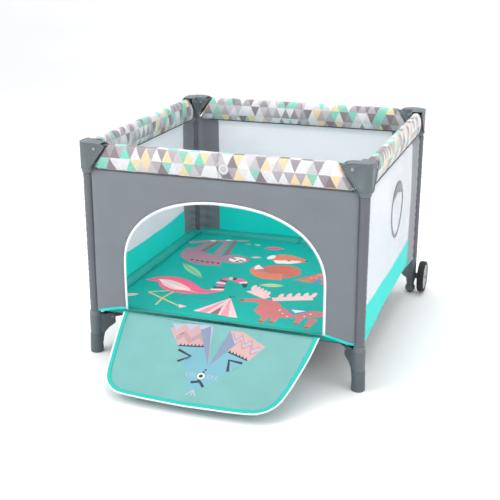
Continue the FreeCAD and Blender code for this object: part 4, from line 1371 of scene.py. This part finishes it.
class PLAYPEN_OT_corners(bpy.types.Operator):
    """Moulded corner connectors with lips and top ridges"""
    bl_idname = "playpen.corners"
    bl_label = "Corner connectors"

    def execute(self, context):
        for corner, (side_x, side_y) in CORNERS.items():
            body = rounded_copy(f"corner_connector_{corner}", f"connector_body_{corner}", "plastic", 0.0042)
            parts = [body, ear_lip(corner, 0), ear_lip(corner, 1)]
            x, y = side_x * LEG, side_y * LEG
            collar = lathe(f"collar_{corner}", [(0.0125, 0.0), (0.0180, 0.001), (0.0192, 0.005),
                                                (0.0198, 0.016),
                                                (0.0125, 0.018)], (x, y, 0.6470), (0, 0, 1), "plastic", 40)
            cap = lathe(f"cap_{corner}", [(0.0, 0.0), (0.0200, 0.0), (0.0175, 0.0016), (0.0100, 0.0026),
                                          (0.0, 0.0030)],
                        (x, y, CONNECTOR_TOP - 0.0008), (0, 0, 1), "plastic", 40)
            whole = join(f"corner_{corner}", parts + [collar, cap])
            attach(whole, f"leg_{corner}")
            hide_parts(f"corner_connector_{corner}")
        return {"FINISHED"}


class PLAYPEN_OT_feet(bpy.types.Operator):
    """Foot brackets, boots and the collars above them"""
    bl_idname = "playpen.feet"
    bl_label = "Feet"

    def execute(self, context):
        for corner, (side_x, side_y) in CORNERS.items():
            x, y = side_x * LEG, side_y * LEG
            body = rounded_copy(f"foot_bracket_{corner}", f"bracket_body_{corner}", "plastic", 0.0022)
            collar = lathe(f"foot_collar_{corner}", [(0.0125, 0.0), (0.0195, 0.0), (0.0200, 0.004),
                                                     (0.0185, 0.016),
                                                     (0.0125, 0.018)], (x, y, 0.1382), (0, 0, 1), "plastic",
                                                     40)
            whole = join(f"bracket_{corner}", [body, collar])
            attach(whole, f"leg_{corner}")
            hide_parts(f"foot_bracket_{corner}")
            if corner.startswith("rear"):
                continue
            profile = [(0.0, 0.0), (0.0200, 0.0), (0.0226, 0.0022), (0.0230, 0.0080), (0.0222, 0.0115),
                       (0.0219, 0.0125),
                       (0.0214, 0.0400), (0.0209, 0.0560), (0.0209, 0.0655), (0.0200, 0.0678), (0.0, 0.0680)]
            turned = lathe(f"boot_turned_{corner}", profile, (x, y, 0.0), (0, 0, 1), "boot", 56)
            web = rounded_copy(f"foot_boot_{corner}", f"boot_web_{corner}", "boot", 0.0012)
            boot = join(f"boot_{corner}", [turned, web])
            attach(boot, f"leg_{corner}")
            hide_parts(f"foot_boot_{corner}")
        return {"FINISHED"}


class PLAYPEN_OT_wheels(bpy.types.Operator):
    """Rear wheels: grooved tyres on ribbed rims"""
    bl_idname = "playpen.wheels"
    bl_label = "Wheels"

    def execute(self, context):
        sizes = context.scene.playpen_sizes
        for side in ("left", "right"):
            low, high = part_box(f"tyre_{side}")
            centre = [(a + b) / 2 for a, b in zip(low, high)]
            radius, half = (high[2] - low[2]) / 2, (high[0] - low[0]) / 2
            inner = (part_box(f"rim_{side}")[1][2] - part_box(f"rim_{side}")[0][2]) / 2
            bead = radius - inner
            profile = [(inner + 0.0006, -half + 0.003), (inner + 0.004, -half), (radius - 0.30 * bead, -half),
                       (radius - 0.10 * bead, -half + 0.003), (radius - 0.001, -half * 0.55),
                       (radius - 0.001, half * 0.55),
                       (radius - 0.10 * bead, half - 0.003), (radius - 0.30 * bead, half),
                       (inner + 0.004, half),
                       (inner + 0.0006, half - 0.003)]
            tyre = lathe(f"tyre_ring_{side}", profile, centre, (1, 0, 0), "tyre", 96)
            blocks = []
            for shift in (-half * 0.72, 0.0, half * 0.72):
                ring = [Vector((centre[0] + shift,
                                centre[1] + (radius - 0.0022 - abs(shift) * 0.12) * math.cos(a),
                                centre[2] + (radius - 0.0022 - abs(shift) * 0.12) * math.sin(a)))
                        for a in [2 * math.pi * step / 96 for step in range(96)]]
                pitch = 2 * math.pi * radius / sizes.tread_blocks
                blocks.append(boxes_along(f"tread_{side}", ring, pitch, (0.0042, 0.0042, pitch * 0.62),
                                          "tyre", True))
            whole = join(f"tyre_{side}_ring", [tyre] + blocks)
            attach(whole, f"wheel_{side}")
            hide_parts(f"tyre_{side}")
            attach(self.rim(side, centre, inner, half), f"wheel_{side}")
        return {"FINISHED"}

    def rim(self, side, centre, inner, half):
        """A dished rim with a boss, a lip and seven ribs on each face."""
        dish = [(0.0043, -half + 0.001), (0.0120, -half + 0.001), (0.0130, -half + 0.006),
                (inner - 0.009, -half + 0.008),
                (inner - 0.006, -half + 0.001), (inner - 0.0004, -half + 0.002),
                (inner - 0.0004, half - 0.002),
                (inner - 0.006, half - 0.001), (inner - 0.009, half - 0.008), (0.0130, half - 0.006),
                (0.0120, half - 0.001), (0.0043, half - 0.001)]
        parts = [lathe(f"rim_{side}_dish", dish, centre, (1, 0, 0), "rim", 72)]
        for face in (-1, 1):
            for rib in range(7):
                angle = 2 * math.pi * rib / 7
                line = [Vector((centre[0] + face * (half - 0.0065), centre[1] + reach * math.cos(angle),
                                centre[2] + reach * math.sin(angle)))
                                for reach in (0.011, inner * 0.5, inner - 0.006)]
                parts.append(tube(f"rib_{side}", line, 0.0032, "rim", 8))
        made = join(f"rim_{side}_wheel", parts)
        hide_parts(f"rim_{side}")
        return made


class PLAYPEN_OT_frame_finishes(bpy.types.Operator):
    """Finishes of the tubes, latches, hub and fasteners"""
    bl_idname = "playpen.frame_finishes"
    bl_label = "Frame finishes"

    def execute(self, context):
        kinds = {"leg_tube": "steel", "rail_": "steel", "strut": "steel", "latch_housing": "plastic",
                 "latch_button": "button", "leg_fasteners": "rivet", "hub": "plastic"}
        for name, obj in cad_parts.items():
            finish = next((kind for start, kind in kinds.items() if name.startswith(start)), None)
            if finish and not name.startswith("rail_cover"):
                for slot in obj.material_slots:
                    slot.material = MATERIALS[finish]
        return {"FINISHED"}


# ---------------------------------------------------------------- stage

class PLAYPEN_OT_stage(bpy.types.Operator):
    """Pale floor, soft studio light and the camera"""
    bl_idname = "playpen.stage"
    bl_label = "Stage"

    def execute(self, context):
        scene = context.scene
        paper = Finish("studio_paper", (0.93, 0.93, 0.935), 0.9)
        paper.set(Base_Color=paper.shade(paper.noise(2.0, 2.0), 0.006))
        MATERIALS["paper"] = paper.material
        rows = [(-9.0, 0.0), (4.5, 0.0), (5.3, 0.08), (5.9, 0.35), (6.3, 0.9), (6.5, 1.8), (6.6, 7.0)]
        points = [Vector((x, y, z)) for y, z in rows for x in (-12.0, 12.0)]
        floor = piece("studio_floor", points, grid_faces(2, len(rows)), ["paper"])
        world = scene.world or bpy.data.worlds.new("studio")
        scene.world = world
        world.use_nodes = True
        world.node_tree.nodes["Background"].inputs[0].default_value = (0.985, 0.99, 1.0, 1.0)
        world.node_tree.nodes["Background"].inputs[1].default_value = 0.95
        for name, place, size, power in (("key", (-2.9, -2.5, 3.2), 3.0, 94.0),
                                         ("fill", (3.4, -2.4, 2.6), 3.0, 40.0),
                                         ("top", (0.0, 0.4, 4.2), 3.2, 74.0)):
            data = bpy.data.lights.new(name, "AREA")
            data.size = size
            data.energy = power
            lamp = bpy.data.objects.new(name, data)
            lamp.location = place
            lamp.rotation_euler = (Vector((0, 0, 0.4)) - Vector(place)).to_track_quat("-Z", "Y").to_euler()
            scene.collection.objects.link(lamp)
        lens = bpy.data.cameras.new("camera")
        lens.sensor_width = 36.0
        lens.lens = 69.88
        camera = bpy.data.objects.new("camera", lens)
        camera.location = (1.06497, -3.26413, 1.43122)
        target = Vector((-0.0618, 0.0, 0.2697))
        camera.rotation_euler = (target - camera.location).to_track_quat("-Z", "Y").to_euler()
        scene.collection.objects.link(camera)
        scene.camera = camera
        scene.view_settings.view_transform = "Standard"
        return {"FINISHED"}


STEPS = [PLAYPEN_OT_frame_finishes, PLAYPEN_OT_corners, PLAYPEN_OT_feet, PLAYPEN_OT_wheels,
         PLAYPEN_OT_rail_covers,
         PLAYPEN_OT_release_patch, PLAYPEN_OT_walls, PLAYPEN_OT_door_side, PLAYPEN_OT_leg_sleeves,
         PLAYPEN_OT_mat,
         PLAYPEN_OT_door_flap, PLAYPEN_OT_floor_cloth, PLAYPEN_OT_stage]


class PLAYPEN_PT_panel(bpy.types.Panel):
    """Sidebar panel that lists the steps, the sizes and the colours"""
    bl_idname = "PLAYPEN_PT_panel"
    bl_label = "Playpen"
    bl_space_type = "VIEW_3D"
    bl_region_type = "UI"
    bl_category = "Playpen"

    def draw(self, context):
        for step in STEPS:
            self.layout.operator(step.bl_idname)
        for group in (context.scene.playpen_sizes, context.scene.playpen_colours):
            for name in group.bl_rna.properties.keys():
                if name not in ("rna_type", "name"):
                    self.layout.prop(group, name)


CLASSES = [PLAYPEN_PG_colours, PLAYPEN_PG_sizes] + STEPS + [PLAYPEN_PT_panel]


def register():
    for item in CLASSES:
        bpy.utils.register_class(item)
    bpy.types.Scene.playpen_colours = PointerProperty(type=PLAYPEN_PG_colours)
    bpy.types.Scene.playpen_sizes = PointerProperty(type=PLAYPEN_PG_sizes)


def unregister():
    del bpy.types.Scene.playpen_sizes
    del bpy.types.Scene.playpen_colours
    for item in reversed(CLASSES):
        bpy.utils.unregister_class(item)


def main():
    """Register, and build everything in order."""
    register()
    scene = bpy.context.scene
    build_materials(scene.playpen_colours, scene.playpen_sizes)
    for step in STEPS:
        group, name = step.bl_idname.split(".")
        getattr(getattr(bpy.ops, group), name)()


if __name__ == "__main__":
    main()
